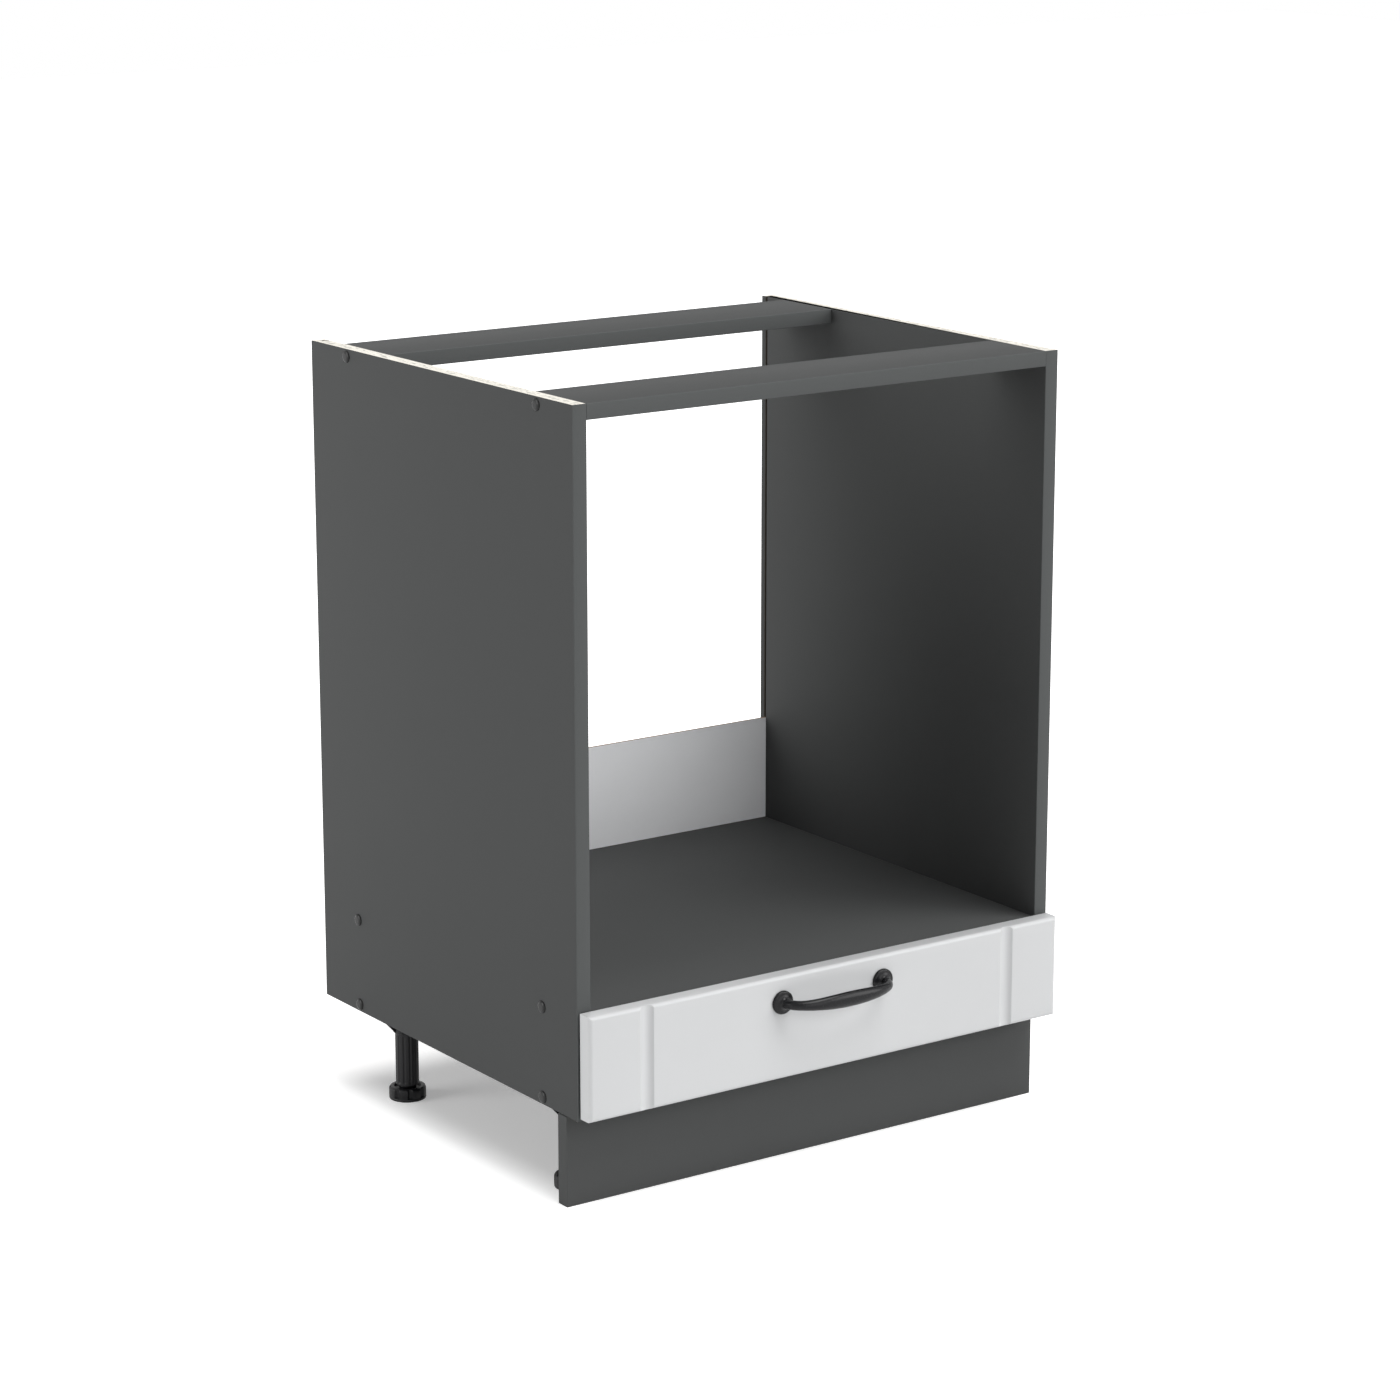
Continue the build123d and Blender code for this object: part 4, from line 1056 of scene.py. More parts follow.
@dataclass
class Carcass:
    """Side panels, boards between them, edge bands, back strip, caps and hidden fixings."""

    outer: float = 0.300  # outer face of the side panels on x
    band: float = 0.0008  # thickness of the edge bands
    band_round: float = 7e-4  # rounding of the bands' front corners
    depth: float = 0.500  # rear edge of the side panels, from the front edge
    top: float = UNDER_Z + 0.720  # upper edge of the side panels
    # where the back strip's groove starts and ends, from the front edge
    groove: tuple[float, float] = (0.48935, 0.49265)
    groove_depth: float = 0.008
    boards: tuple[str, ...] = ("bottom_panel", "oven_shelf", "front_top_rail",
                               "rear_top_rail")
    cap_radius: float = 0.0065
    cap_rim: float = 0.0006  # height of a cap's rim
    cap_height: float = 0.0022
    cap_flat: float = 0.003  # radius of a cap's flat middle
    # powers of the cosine and the sine of a cap's shoulder
    cap_powers: tuple[float, float] = (0.9, 1.1)
    # the two places of caps on y, and their three levels
    cap_ys: tuple[float, float] = (FRONT_Y + 0.064, FRONT_Y + 0.427)
    cap_zs: tuple[float, float, float] = (UNDER_Z + 0.008, UNDER_Z + 0.103, UNDER_Z + 0.712)

    def side_skin(self, side: Side) -> Skin:
        """Section of a side panel with its groove, carried upwards.

        Args:
            side: Left or right.

        Returns:
            The surface; its sawn edges have paint number 1, and its groove, which carries
            painted shade, number 2.
        """
        outer, (start, end) = self.outer, self.groove
        floor = INNER_X + self.groove_depth
        corners = [(outer, self.band), (INNER_X, self.band), (INNER_X, start),
                   (floor, start), (floor, end), (INNER_X, end), (INNER_X, self.depth),
                   (outer, self.depth)]
        points = rounded(corners, [HAIR, HAIR, EASE, HAIR, HAIR, EASE, EDGE, EDGE], 2)
        skin = prism(points * (side.value, 1) + (0, FRONT_Y), "z", UNDER_Z, self.top)
        middle, near = face_middles(skin), self.band
        x, y = np.abs(middle[:, 0]), middle[:, 1] - FRONT_Y
        # Faces inside the groove, which get the painted shade.
        groove = (x > INNER_X + GAP / 5) & (x < outer - near) & (
            y > start - near) & (y < end + near)
        return skin.painted(np.where(groove, 2, looking(skin, "+z", "-z", "+y")))

    def band_skin(self) -> Skin:
        """Edge bands with rounded front corners, on the side panels and the boards."""
        radii = [self.band_round] * 2 + [HAIR / 2] * 2
        back = FRONT_Y + self.band
        skins = []
        for side in Side:
            x0, x1 = sorted((side.value * INNER_X, side.value * self.outer))
            front = rounded([(x0, FRONT_Y), (x1, FRONT_Y), (x1, back), (x0, back)], radii, 5)
            skins.append(prism(front, "z", UNDER_Z, self.top, EASE))
        for node in self.boards:
            low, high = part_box(node)
            y0, y1 = low.y - self.band, low.y
            edge = rounded([(y0, low.z), (y0, high.z), (y1, high.z), (y1, low.z)], radii, 5)
            skins.append(prism(edge, "x", -INNER_X, INNER_X, HAIR))
        return joined(skins)

    def cap_skin(self) -> Skin:
        """Caps with a low rim and a flat middle.

        The shoulder between them is a quarter oval whose cosine and sine are raised to powers
        near one.

        Returns:
            All the caps as one surface.
        """
        turn = np.linspace(0, 1, 9)[:, None] * math.pi / 2
        reach, rise = self.cap_radius - self.cap_flat, self.cap_height - self.cap_rim
        shoulder = np.hstack([self.cap_flat + reach * np.cos(turn) ** self.cap_powers[0],
                              self.cap_rim + rise * np.sin(turn) ** self.cap_powers[1]])
        outline = np.vstack([[(self.cap_radius - EDGE, -HAIR), (self.cap_radius, EASE)],
                             shoulder, [(CLOSE_R, self.cap_height)]])
        return joined(turned(outline, (side.value * self.outer, y, z), (side.value, 0, 0), 40)
                      for side in Side for y in self.cap_ys for z in self.cap_zs)

    def build(self) -> None:
        """Builds and dresses the carcass."""
        for side in Side:
            piece(self.side_skin(side), f"panel_{side.word}", "cabinet",
                  [MELAMINE, SIDE_EDGE, GROOVE_PAINTED_SHADE], [f"side_panel_{side.word}"])
        for node in self.boards:
            lying_board(node, "cabinet", MELAMINE, ("+y", "+x", "-x"), EASE)
        piece(self.band_skin(), "edge_bands_rounded", "cabinet", [BAND],
              ["edge_bands"], 20)
        strip = node_slab("back_strip", "x")
        strip.painted(~looking(strip, "-y", least=0.5))
        piece(strip, "back_strip_sheet", "cabinet",
              [HARDBOARD_FACE, HARDBOARD_BACK], ["back_strip"])
        piece(self.cap_skin(), "cover_caps", "cabinet", [CAP_PLASTIC],
              ["screw_cover_caps"], 40)
        repaint("carcass_screws", ZINC)
        repaint("wooden_dowels", BEECH)


# Screws


@dataclass(frozen=True)
class ScrewHead:
    """A pan head with a cross recess.

    Attributes:
        radius: Radius of the head.
        height: Its height.
        recess: Depth of the recess in the middle.
        arm: Half width of the arms of the cross.
        reach: Length of each arm from the middle.
        shank: Radius of the shank under the head.
        length: Length of the shank.
        fall: Share of the height by which the head's rim is lower than its middle.
        edge: Where an arm's wall ends, in half widths of the arm.
        steepness: Power with which the recess rises along an arm.
        straight: Share of the shank before its point.
        tip: Radius of the point as a share of the shank's.
        sides: Points round the axis.
    """

    radius: float
    height: float
    recess: float
    arm: float
    reach: float
    shank: float
    length: float
    fall: ClassVar[float] = 0.55
    edge: ClassVar[float] = 1.5
    steepness: ClassVar[float] = 0.7
    straight: ClassVar[float] = 0.75
    tip: ClassVar[float] = 0.15
    sides: ClassVar[int] = 40

    def skin(self, start: Iterable[float], out: Iterable[float]) -> Skin:
        """Head and shank as one closed surface on a polar grid.

        The head's top falls off with the fourth power of the radius. The recess is deepest in
        the middle, rises to nothing at the end of each arm, and is as wide as the arm.

        Args:
            start: Point under the middle of the head.
            out: Direction from there to the top of the head.

        Returns:
            The surface.
        """
        turn = angles(self.sides)[None, :]
        share = np.linspace(0.04, 1, 12)[:, None]
        r = share * self.radius
        dome = self.height * (1 - self.fall * share ** 4)
        u, v = np.abs(r * np.cos(turn)), np.abs(r * np.sin(turn))
        across, along = np.minimum(u, v), np.maximum(u, v)
        wall = np.clip(self.edge - across / self.arm, 0, 1)
        slope = np.clip(1 - along / self.reach, 0, 1)
        parts = [(r, dome - self.recess * wall * slope ** self.steepness),
                 (self.radius, 0.0), (self.shank, 0.0),
                 (self.shank, -self.length * self.straight),
                 (self.shank * self.tip, -self.length)]
        return tube(swept_round(*stacked(parts, self.sides), start, out))


WOOD_SCREW = ScrewHead(0.0032, 0.0016, 0.0011, 0.00042, 0.0021, 0.00175, 0.0129)
RUNNER_SCREW = ScrewHead(0.0045, 0.0010, 0.0008, 0.00055, 0.0030, 0.0025, 0.0109)
HANDLE_SCREW = ScrewHead(0.0040, 0.0022, 0.0015, 0.00055, 0.0027, 0.0020, 0.0250)


def screws(name: str, body: str, head: ScrewHead, places: Iterable, node: str) -> None:
    """A set of equal screws as one piece.

    Args:
        name: Name of the piece.
        body: CAD body that they ride on.
        head: Shape of the screws.
        places: (start, out) of each screw.
        node: CAD node that they stand for.
    """
    skin = joined(head.skin(start, out) for start, out in places)
    piece(skin, name, body, [ZINC], [node], 40)


# Legs and plinth


@dataclass
class Leg:
    """One leg: screw plate with gusseted sleeve, fluted tube and levelling foot."""

    side: Side
    row: Row
    tube_radius: float = 0.0125
    bore: float = 0.00995  # radius of the tube's bore
    tube_end: float = 0.0158  # level of the tube's lower end
    tube_soft: float = 4e-4  # bevel of that lower end
    bore_spare: float = 3e-3  # how far the bore goes on above the foot's stem
    flutes: int = 12
    flute_depth: float = 0.0008
    flute_width: float = 0.0034
    # how far a flute goes on past its end, how far before it the fading begins to be drawn,
    # and the length over which it fades
    flute_fade: tuple[float, float, float] = (2e-3, 1e-3, 2.5e-3)
    plate_radius: float = 0.032
    plate_height: float = 0.003
    # rounding of the plate's edge, and how far the middle of that stays back
    plate_soft: tuple[float, float] = (8e-4, 2.4e-4)
    sleeve_radius: float = 0.0145
    sleeve_height: float = 0.022  # measured from the underside of the carcass
    # rounding of the sleeve's end outside, and of its mouth
    sleeve_soft: tuple[float, float] = (5e-4, 4e-4)
    sleeve_fillet: float = 1e-3  # height of the fillet between plate and sleeve
    gussets: int = 8
    gusset_wall: float = 0.0022
    gusset_inset: float = 1e-3  # distance to the plate's edge and to the sleeve's end
    foot_radius: float = 0.020
    foot_height: float = 0.014
    foot_rounding: float = 0.003  # rounding of the disc's upper edge
    foot_base: float = 0.003  # height of the plain ring under the notches
    # width and height of the rounding under that ring
    sole_soft: tuple[float, float] = (1e-3, 8e-4)
    dish_radius: float = 0.0145
    dish_depth: float = 0.0025
    notches: int = 8
    notch_radius: float = 0.0025
    stem_radius: float = 0.0099
    stem_top: float = 0.059  # level of the stem's upper end
    stem_root: float = 4e-4  # half the width of the fillet at the stem's lower end
    # radius and height that the stem's bevelled tip loses, point by point
    stem_tip: tuple = ((8e-4, 5e-4), (1.5e-3, 0.0))
    pitch: float = 0.0025
    thread: float = 3.5e-4  # half the depth of the thread
    thread_end: float = 1e-3  # how far below the stem's top the thread ends
    foot_sides: int = 128  # points round the foot

    @property
    def x(self) -> float:
        """Place of the leg's axis on x."""
        return self.side.value * LEG_X

    @property
    def words(self) -> str:
        """Row and side in piece names."""
        return f"{self.row.word}_{self.side.word}"

    def place(self, z: float) -> tuple[float, float, float]:
        """A point on the leg's axis."""
        return (self.x, self.row.value, z)

    def socket_skin(self) -> Skin:
        """Round plate and sleeve turned in one, with tapered gussets round the sleeve."""
        bore, plate, thick = self.tube_radius + GAP, self.plate_radius, self.plate_height
        sleeve, end, inset = self.sleeve_radius, self.sleeve_height, self.gusset_inset
        soft, bulge = self.plate_soft
        lip, mouth = self.sleeve_soft
        outline = [(2 * CLOSE_R, 0), (plate - EDGE, 0), (plate, EDGE), (plate, thick - soft),
                   (plate - bulge, thick - bulge), (plate - soft, thick),
                   (sleeve + soft, thick), (sleeve + EASE, thick + EDGE),
                   (sleeve, thick + self.sleeve_fillet), (sleeve, end - lip),
                   (sleeve - lip, end), (bore + mouth, end), (bore, end - mouth),
                   (bore, thick), (2 * CLOSE_R, thick)]
        skins = [turned(outline, self.place(UNDER_Z), (0, 0, -1), 64)]
        web = rounded([(bore + EDGE, -thick / 2), (plate - inset, -thick / 2),
                       (plate - inset, -thick - EASE), (sleeve + EASE, inset - end),
                       (bore + EDGE, inset - end)], HAIR, 1)
        rib = prism(web, "y", -self.gusset_wall / 2, self.gusset_wall / 2)
        move = Matrix.Translation(self.place(UNDER_Z))
        skins += [rib.moved(move @ Matrix.Rotation(math.tau * i / self.gussets, 4, "Z"))
                  for i in range(self.gussets)]
        return joined(skins)

    def tube_skin(self) -> Skin:
        """Leg tube whose flutes fade out towards both ends, with a blind bore.

        The radius is the tube's, less the depth at which a ray in that direction meets the
        nearest flute's circle, times a weight that falls to nothing at the flute's ends.

        Returns:
            The surface.
        """
        sides = self.flutes * 12
        width, deep, end = self.flute_width, self.flute_depth, self.tube_end
        circle = (width ** 2 / 4 + deep ** 2) / (2 * deep)
        met = ray_to_circle(off_middle(angles(sides)[None, :], self.flutes),
                            self.tube_radius + circle - deep, circle, self.tube_radius)
        cut = np.maximum(self.tube_radius - met, 0)
        top = UNDER_Z - self.plate_height
        high, low = UNDER_Z - self.sleeve_height - width, end + width
        past, before, fade = self.flute_fade
        z = np.concatenate([[top, top - EASE], high + np.linspace(past, -before, 7),
                            low + np.linspace(before, -past, 7),
                            [end + self.tube_soft]])[:, None]
        weight = (np.clip((high + past - z) / fade, 0, 1)
                  * np.clip((z - low + past) / fade, 0, 1))
        weight = weight * weight * (3 - 2 * weight)
        radius = self.tube_radius - cut * weight
        radius[0] -= EASE
        parts = [(radius, z), (self.tube_radius - self.tube_soft, end),
                 (self.bore + EDGE, end), (self.bore, end + EDGE),
                 (self.bore, self.stem_top + self.bore_spare)]
        return tube(swept_round(*stacked(parts, sides), self.place(0), (0, 0, 1)))

    def foot_skin(self) -> Skin:
        """Foot: notched disc with a dished top, and a threaded stem.

        The disc's radius is cut by circles on its edge above the base. The stem's radius
        falls and rises with a wave that climbs one pitch in each turn.

        Returns:
            The surface.
        """
        turn = angles(self.foot_sides)[None, :]
        big, high, soft = self.foot_radius, self.foot_height, self.foot_rounding
        base, stem, dish, top = self.foot_base, self.stem_radius, self.dish_radius, self.stem_top
        notch = ray_to_circle(off_middle(turn, self.notches), big, self.notch_radius, 1.0)
        wide, tall = self.sole_soft
        sole = [(3 * CLOSE_R, 0), (big - wide, 0), (big - EDGE, EDGE / 2), (big, tall),
                (big, base - EASE), (big - EASE, base)]
        rim = np.vstack([[(big - EASE, base + HAIR / 10), (big, base + EDGE)],
                         arc((big - soft, high - soft), soft, 0, 90, 8),
                         [(dish + EDGE, high), (dish, high - EDGE)]])
        floor = high - self.dish_depth
        hollow = [(dish, floor + EDGE), (dish - EDGE, floor), (stem + self.stem_root, floor),
                  (stem - self.stem_root, floor + EASE)]
        rows = 6 * int((top - high - self.thread_end) / self.pitch)
        z = np.linspace(high, top - self.thread_end, rows)[:, None]
        climb = np.cos(z / self.pitch * math.tau - turn)
        tip = [(stem - less, top - lower) for less, lower in self.stem_tip]
        parts = [*sole, (np.minimum(rim[:, :1], notch), rim[:, 1:]), *hollow,
                 (stem - self.thread + self.thread * climb, z), *tip]
        return tube(swept_round(*stacked(parts, self.foot_sides), self.place(0), (0, 0, 1)))

    def screw_places(self) -> list:
        """Start and direction of the four plate screws, between the gussets."""
        reach = (self.sleeve_radius + self.plate_radius) / 2
        turn = np.radians(67.5 + 90 * np.arange(4))
        z = UNDER_Z - self.plate_height
        return [((self.x - self.side.value * reach * math.cos(a),
                  self.row.value + reach * math.sin(a), z), (0, 0, -1)) for a in turn]

    def build(self) -> None:
        """Builds and dresses the leg."""
        piece(self.socket_skin(), f"socket_{self.words}", "cabinet",
              [BLACK_PLASTIC], [f"leg_socket_{self.words}"], 30)
        piece(self.tube_skin(), f"tube_{self.words}", "cabinet",
              [BLACK_PLASTIC], [f"leg_tube_{self.words}"], 40)
        piece(self.foot_skin(), f"levelling_foot_{self.words}", f"foot_{self.words}",
              [BLACK_PLASTIC], [f"foot_{self.words}"], 45)


@dataclass
class Plinth:
    """Plinth board with its spring clips."""

    board_y: float = FRONT_Y + 0.029  # middle of the board's thickness
    back_y: float = FRONT_Y + 0.037  # rear face of the board
    clip_wall: float = 0.0024
    clip_height: float = 0.020
    clip_plate: float = 0.044  # width of the plate that is screwed to the board
    clip_margin: float = 0.0064  # distance of the screws from the plate's ends
    clip_z: float = UNDER_Z - 0.050  # level of the clips' middle
    clip_radius: float = 0.0126  # inner radius of the spring, round the leg tube
    mouth: float = 100.0  # opening of the spring, in degrees

    def clip_skin(self, side: Side) -> Skin:
        """Spring clip: a C-shaped section, a stem and a plate, carried upwards.

        Args:
            side: Left or right.

        Returns:
            The three closed surfaces as one.
        """
        x, y = side.value * LEG_X, Row.FRONT.value
        wall, inner, plate = self.clip_wall, self.clip_radius, self.clip_plate / 2
        first, last = 90 + self.mouth / 2, 450 - self.mouth / 2
        ring = np.vstack([arc((x, y), inner + wall, first, last, 56),
                          arc((x, y), inner, last, first, 56)])
        low, high = self.clip_z - self.clip_height / 2, self.clip_z + self.clip_height / 2
        stem = (x - wall, self.back_y, x + wall, y - inner - EASE)
        flange = (x - plate, self.back_y, x + plate, self.back_y + wall)
        return joined([prism(ring, "z", low, high)]
                      + [slab((a, b, low), (c, d, high), "z", 4e-4)
                         for a, b, c, d in (stem, flange)])

    def build(self) -> None:
        """Builds and dresses the plinth, its clips and their screws."""
        board = node_slab("plinth_panel", "x", 5e-4)
        sawn = sawn_edge("sawn_plinth_edge", 1, abs(self.board_y))
        piece(board.painted(looking(board, "-z")), "plinth_board", "cabinet",
              [MELAMINE, sawn], ["plinth_panel"])
        reach = self.clip_plate / 2 - self.clip_margin
        spots = []
        for side in Side:
            piece(self.clip_skin(side), f"spring_clip_{side.word}", "cabinet",
                  [BLACK_PLASTIC], [f"plinth_clip_{side.word}"], 30)
            spots += [((side.value * LEG_X + d, self.back_y + self.clip_wall, self.clip_z),
                       (0, 1, 0)) for d in (-reach, reach)]
        screws("clip_screw_heads", "cabinet", WOOD_SCREW, spots, "plinth_clip_screws")


# Drawer


@dataclass
class DrawerFront:
    """Foil-wrapped front with rounded face edges and two upright coves."""

    rounding: float = 0.0042  # radius of the face edges
    cove_x: float = 0.230  # distance of the coves from the middle
    cove_width: float = 0.016
    cove_depth: float = 0.0036
    cove_reach: float = 1.25  # reach of the close points, in half widths of a cove
    cove_points: int = 61  # close points across a cove
    plain_points: int = 9  # points along a plain stretch
    plain_x: float = 0.2  # half the plain stretch between the coves
    plain_z: float = 0.01  # how far the plain stretch stays inside the lower and upper edge
    soft: float = 0.0005  # softness of a cove's creases
    rear_rounding: float = 0.0008  # radius of the rear edges
    steps: int = 8  # pieces of the rounded face edges
    rear_steps: int = 4  # pieces of the rounded rear edges

    def quarter(self, distance: Array) -> Array:
        """Set-back of a quarter round at a distance from the edge."""
        inside = np.clip(self.rounding - distance, 0, self.rounding)
        return self.rounding - np.sqrt(self.rounding ** 2 - inside ** 2)

    def cove(self, x: Array) -> Array:
        """Set-back of the coves: the arc's circle less the height of its centre, softly cut
        off at nothing by the mean of itself and the root of its square and the softness's.

        Args:
            x: Places on x.

        Returns:
            The set-back at each.
        """
        circle = (self.cove_width ** 2 / 4 + self.cove_depth ** 2) / (2 * self.cove_depth)
        near = np.abs(np.abs(x) - self.cove_x)
        bowl = np.sqrt(np.maximum(circle ** 2 - near ** 2, 0)) - (circle - self.cove_depth)
        bowl = (bowl + np.sqrt(bowl ** 2 + self.soft ** 2)) / 2
        return np.where(near < self.cove_width, bowl, 0)

    def skin(self) -> Skin:
        """Front face as a height over x and z, wrapped round to the sides and the back.

        The face is set back by the largest of three depths: the quarter round along the left
        and right edges, the same along the top and bottom edges, and that of the coves.
        Behind it come rings that draw in on a quarter round to the back.

        Returns:
            The closed surface.
        """
        low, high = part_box("drawer_front")
        x0, x1, z0, z1 = low.x, high.x, low.z, high.z
        swing = np.linspace(0, math.pi / 2, self.steps + 1)
        edge = self.rounding * (1 - np.sin(swing))[::-1]
        reach, plain = self.cove_reach, self.plain_points
        cove = np.linspace(-reach, reach, self.cove_points) * self.cove_width / 2
        x = np.concatenate([x0 + edge, cove - self.cove_x,
                            np.linspace(-self.plain_x, self.plain_x, plain),
                            cove + self.cove_x, x1 - edge[::-1]])
        z = np.concatenate([z0 + edge,
                            np.linspace(z0 + self.plain_z, z1 - self.plain_z, plain),
                            z1 - edge[::-1]])
        across = np.maximum(self.quarter(np.minimum(x - x0, x1 - x)), self.cove(x))
        back = np.maximum(across, self.quarter(np.minimum(z - z0, z1 - z))[:, None])
        rows, columns = back.shape
        face = np.stack([np.broadcast_to(x, back.shape), low.y + back,
                         np.broadcast_to(z[:, None], back.shape)], -1).reshape(-1, 3)
        number = np.arange(rows * columns).reshape(rows, columns)
        border = np.concatenate([number[0], number[1:, -1], number[-1, -2::-1],
                                 number[-2:0:-1, 0]])
        off = face[border] - ((x0 + x1) / 2, 0.0, (z0 + z1) / 2)
        reach = np.array((x1 - x0, math.inf, z1 - z0)) / 2 - HAIR
        outward = np.sign(off) * (np.abs(off) > reach)
        rings = [face]
        for turn in np.linspace(0, math.pi / 2, self.rear_steps + 1):
            ring = face[border] - outward * self.rear_rounding * (1 - math.cos(turn))
            ring[:, 1] = high.y - self.rear_rounding * (1 - math.sin(turn))
            rings.append(ring)
        return Skin(np.concatenate(rings), *self.wrapped(border, rows, columns)).outward()

    def wrapped(self, border: Array, rows: int, columns: int) -> tuple[list, list]:
        """Faces of the front face's grid, of the rings behind it and of the back.

        Args:
            border: Numbers of the points on the border of the grid, in order.
            rows: Rows of the grid.
            columns: Points in each row.

        Returns:
            Corner numbers of each face, and a paint number of 0 for each.
        """
        start, here = rows * columns, np.arange(len(border))
        after = (here + 1) % len(border)
        loops = [border] + [start + i * len(border) + here for i in range(self.rear_steps + 1)]
        faces = grid_squares(rows, columns, False).tolist()
        for near, far in zip(loops, loops[1:]):
            faces += np.stack([near[after], near, far, far[after]], 1).tolist()
        faces.append(loops[-1][::-1].tolist())
        return faces, [0] * len(faces)

    def build(self) -> None:
        """Builds and dresses the drawer front."""
        piece(self.skin(), "front_panel", "drawer", [WHITE_FOIL],
              ["drawer_front"], 30)


@dataclass
class BowHandle:
    """Cast bow handle: a swelling grip between two bell-shaped feet, with its screws."""

    spacing: float = 0.128  # distance between the feet
    reach: float = 0.0305  # how far the bow stands off
    squareness: float = 2.7  # exponent of the bow's line, where 2 is an ellipse
    height: float = 0.0162  # height of the section in the middle
    thickness: float = 0.010  # thickness of the section there
    swell: float = 0.112  # length over which the section swells
    swell_power: float = 1.5  # power of the swelling
    neck: float = 0.010  # height and thickness of the section at the feet
    root: float = 2e-3  # how far the bow's ends go into the feet
    z: float = UNDER_Z + 0.086  # level of the handle
    face_y: float = FRONT_Y - 0.020  # face of the drawer front
    rosette: float = 0.025  # diameter of a foot
    rosette_edge: float = 0.0012  # height of a foot's straight edge
    rosette_round: float = 0.0024  # radius of the rounding above that
    rosette_height: float = 0.010
    rosette_tuck: float = 0.001  # how far a foot's upper end lies inside the grip
    hollow: float = 0.2  # sag of a foot's curve as a share of the chord
    samples: int = 4001  # points along the bow's line while its length is measured
    rings: int = 121  # sections along the bow
    sides: int = 40

    def grip_skin(self) -> Skin:
        """Oval section carried along the bow.

        In plan the bow's middle line is a superellipse: the powers of its shares of the half
        width and of the reach, with the squareness as exponent, add up to one. The section is
        an oval whose height and thickness grow from the neck's to the grip's with a power of
        one less the square of the distance from the middle.

        Returns:
            The closed surface.
        """
        turn = np.linspace(0, math.pi, self.samples)
        power = 2 / self.squareness
        x = np.sign(np.cos(turn)) * np.abs(np.cos(turn)) ** power * self.spacing / 2
        forward = np.abs(np.sin(turn)) ** power * self.reach
        run = np.concatenate([[0], np.cumsum(np.hypot(np.diff(x), np.diff(forward)))])
        even = np.linspace(0, run[-1], self.rings)
        x, forward = np.interp(even, run, x), np.interp(even, run, forward)
        line = np.stack([x, self.face_y - forward, np.full_like(x, self.z)], 1)
        line[[0, -1], 1] = self.face_y - self.root
        along = np.gradient(line, axis=0)
        along /= np.linalg.norm(along, axis=1, keepdims=True)
        up = np.array((0.0, 0.0, 1.0))
        out = np.cross(along, up)
        swell = np.clip(1 - (2 * x / self.swell) ** 2, 0, 1) ** self.swell_power
        tall, thick = ((self.neck + (full - self.neck) * swell)[:, None, None] / 2
                       for full in (self.height, self.thickness))
        angle = angles(self.sides)[None, :, None]
        return tube(line[:, None] + up * np.sin(angle) * tall
                    + out[:, None] * np.cos(angle) * thick)

    def rosette_skin(self, x: float) -> Skin:
        """Foot of the handle turned about y: edge, rounding, and a hollow curve that sags from
        its chord by a share of the chord's length and ends inside the grip.

        Args:
            x: Place of its axis.

        Returns:
            The closed surface.
        """
        rim = self.rosette / 2
        start = np.array((rim - self.rosette_round, self.rosette_edge + self.rosette_round))
        end = np.array((self.neck / 2 - self.rosette_tuck, self.rosette_height))
        chord = end - start
        share = np.linspace(0, 1, 15)[:, None]
        sag = self.hollow * np.array((-chord[1], chord[0]))
        curve = start + chord * share + 4 * share * (1 - share) * sag
        edge = arc((start[0], self.rosette_edge), self.rosette_round, 0, 90, 7)
        outline = np.vstack([[(2 * CLOSE_R, 0), (rim - EDGE, 0), (rim, EDGE)], edge, curve[1:],
                             [(CLOSE_R, self.rosette_height)]])
        return turned(outline, (x, self.face_y, self.z), (0, -1, 0), 56)

    def build(self) -> None:
        """Builds and dresses the handle and its screws."""
        xs = (-self.spacing / 2, self.spacing / 2)
        skin = joined([self.grip_skin()] + [self.rosette_skin(x) for x in xs])
        piece(skin, "bow_handle", "drawer", [CAST_BLACK], ["handle"], 50)
        spots = [((x, FRONT_REAR_Y, self.z), (0, 1, 0)) for x in xs]
        screws("handle_screw_heads", "drawer", HANDLE_SCREW, spots, "handle_screws")


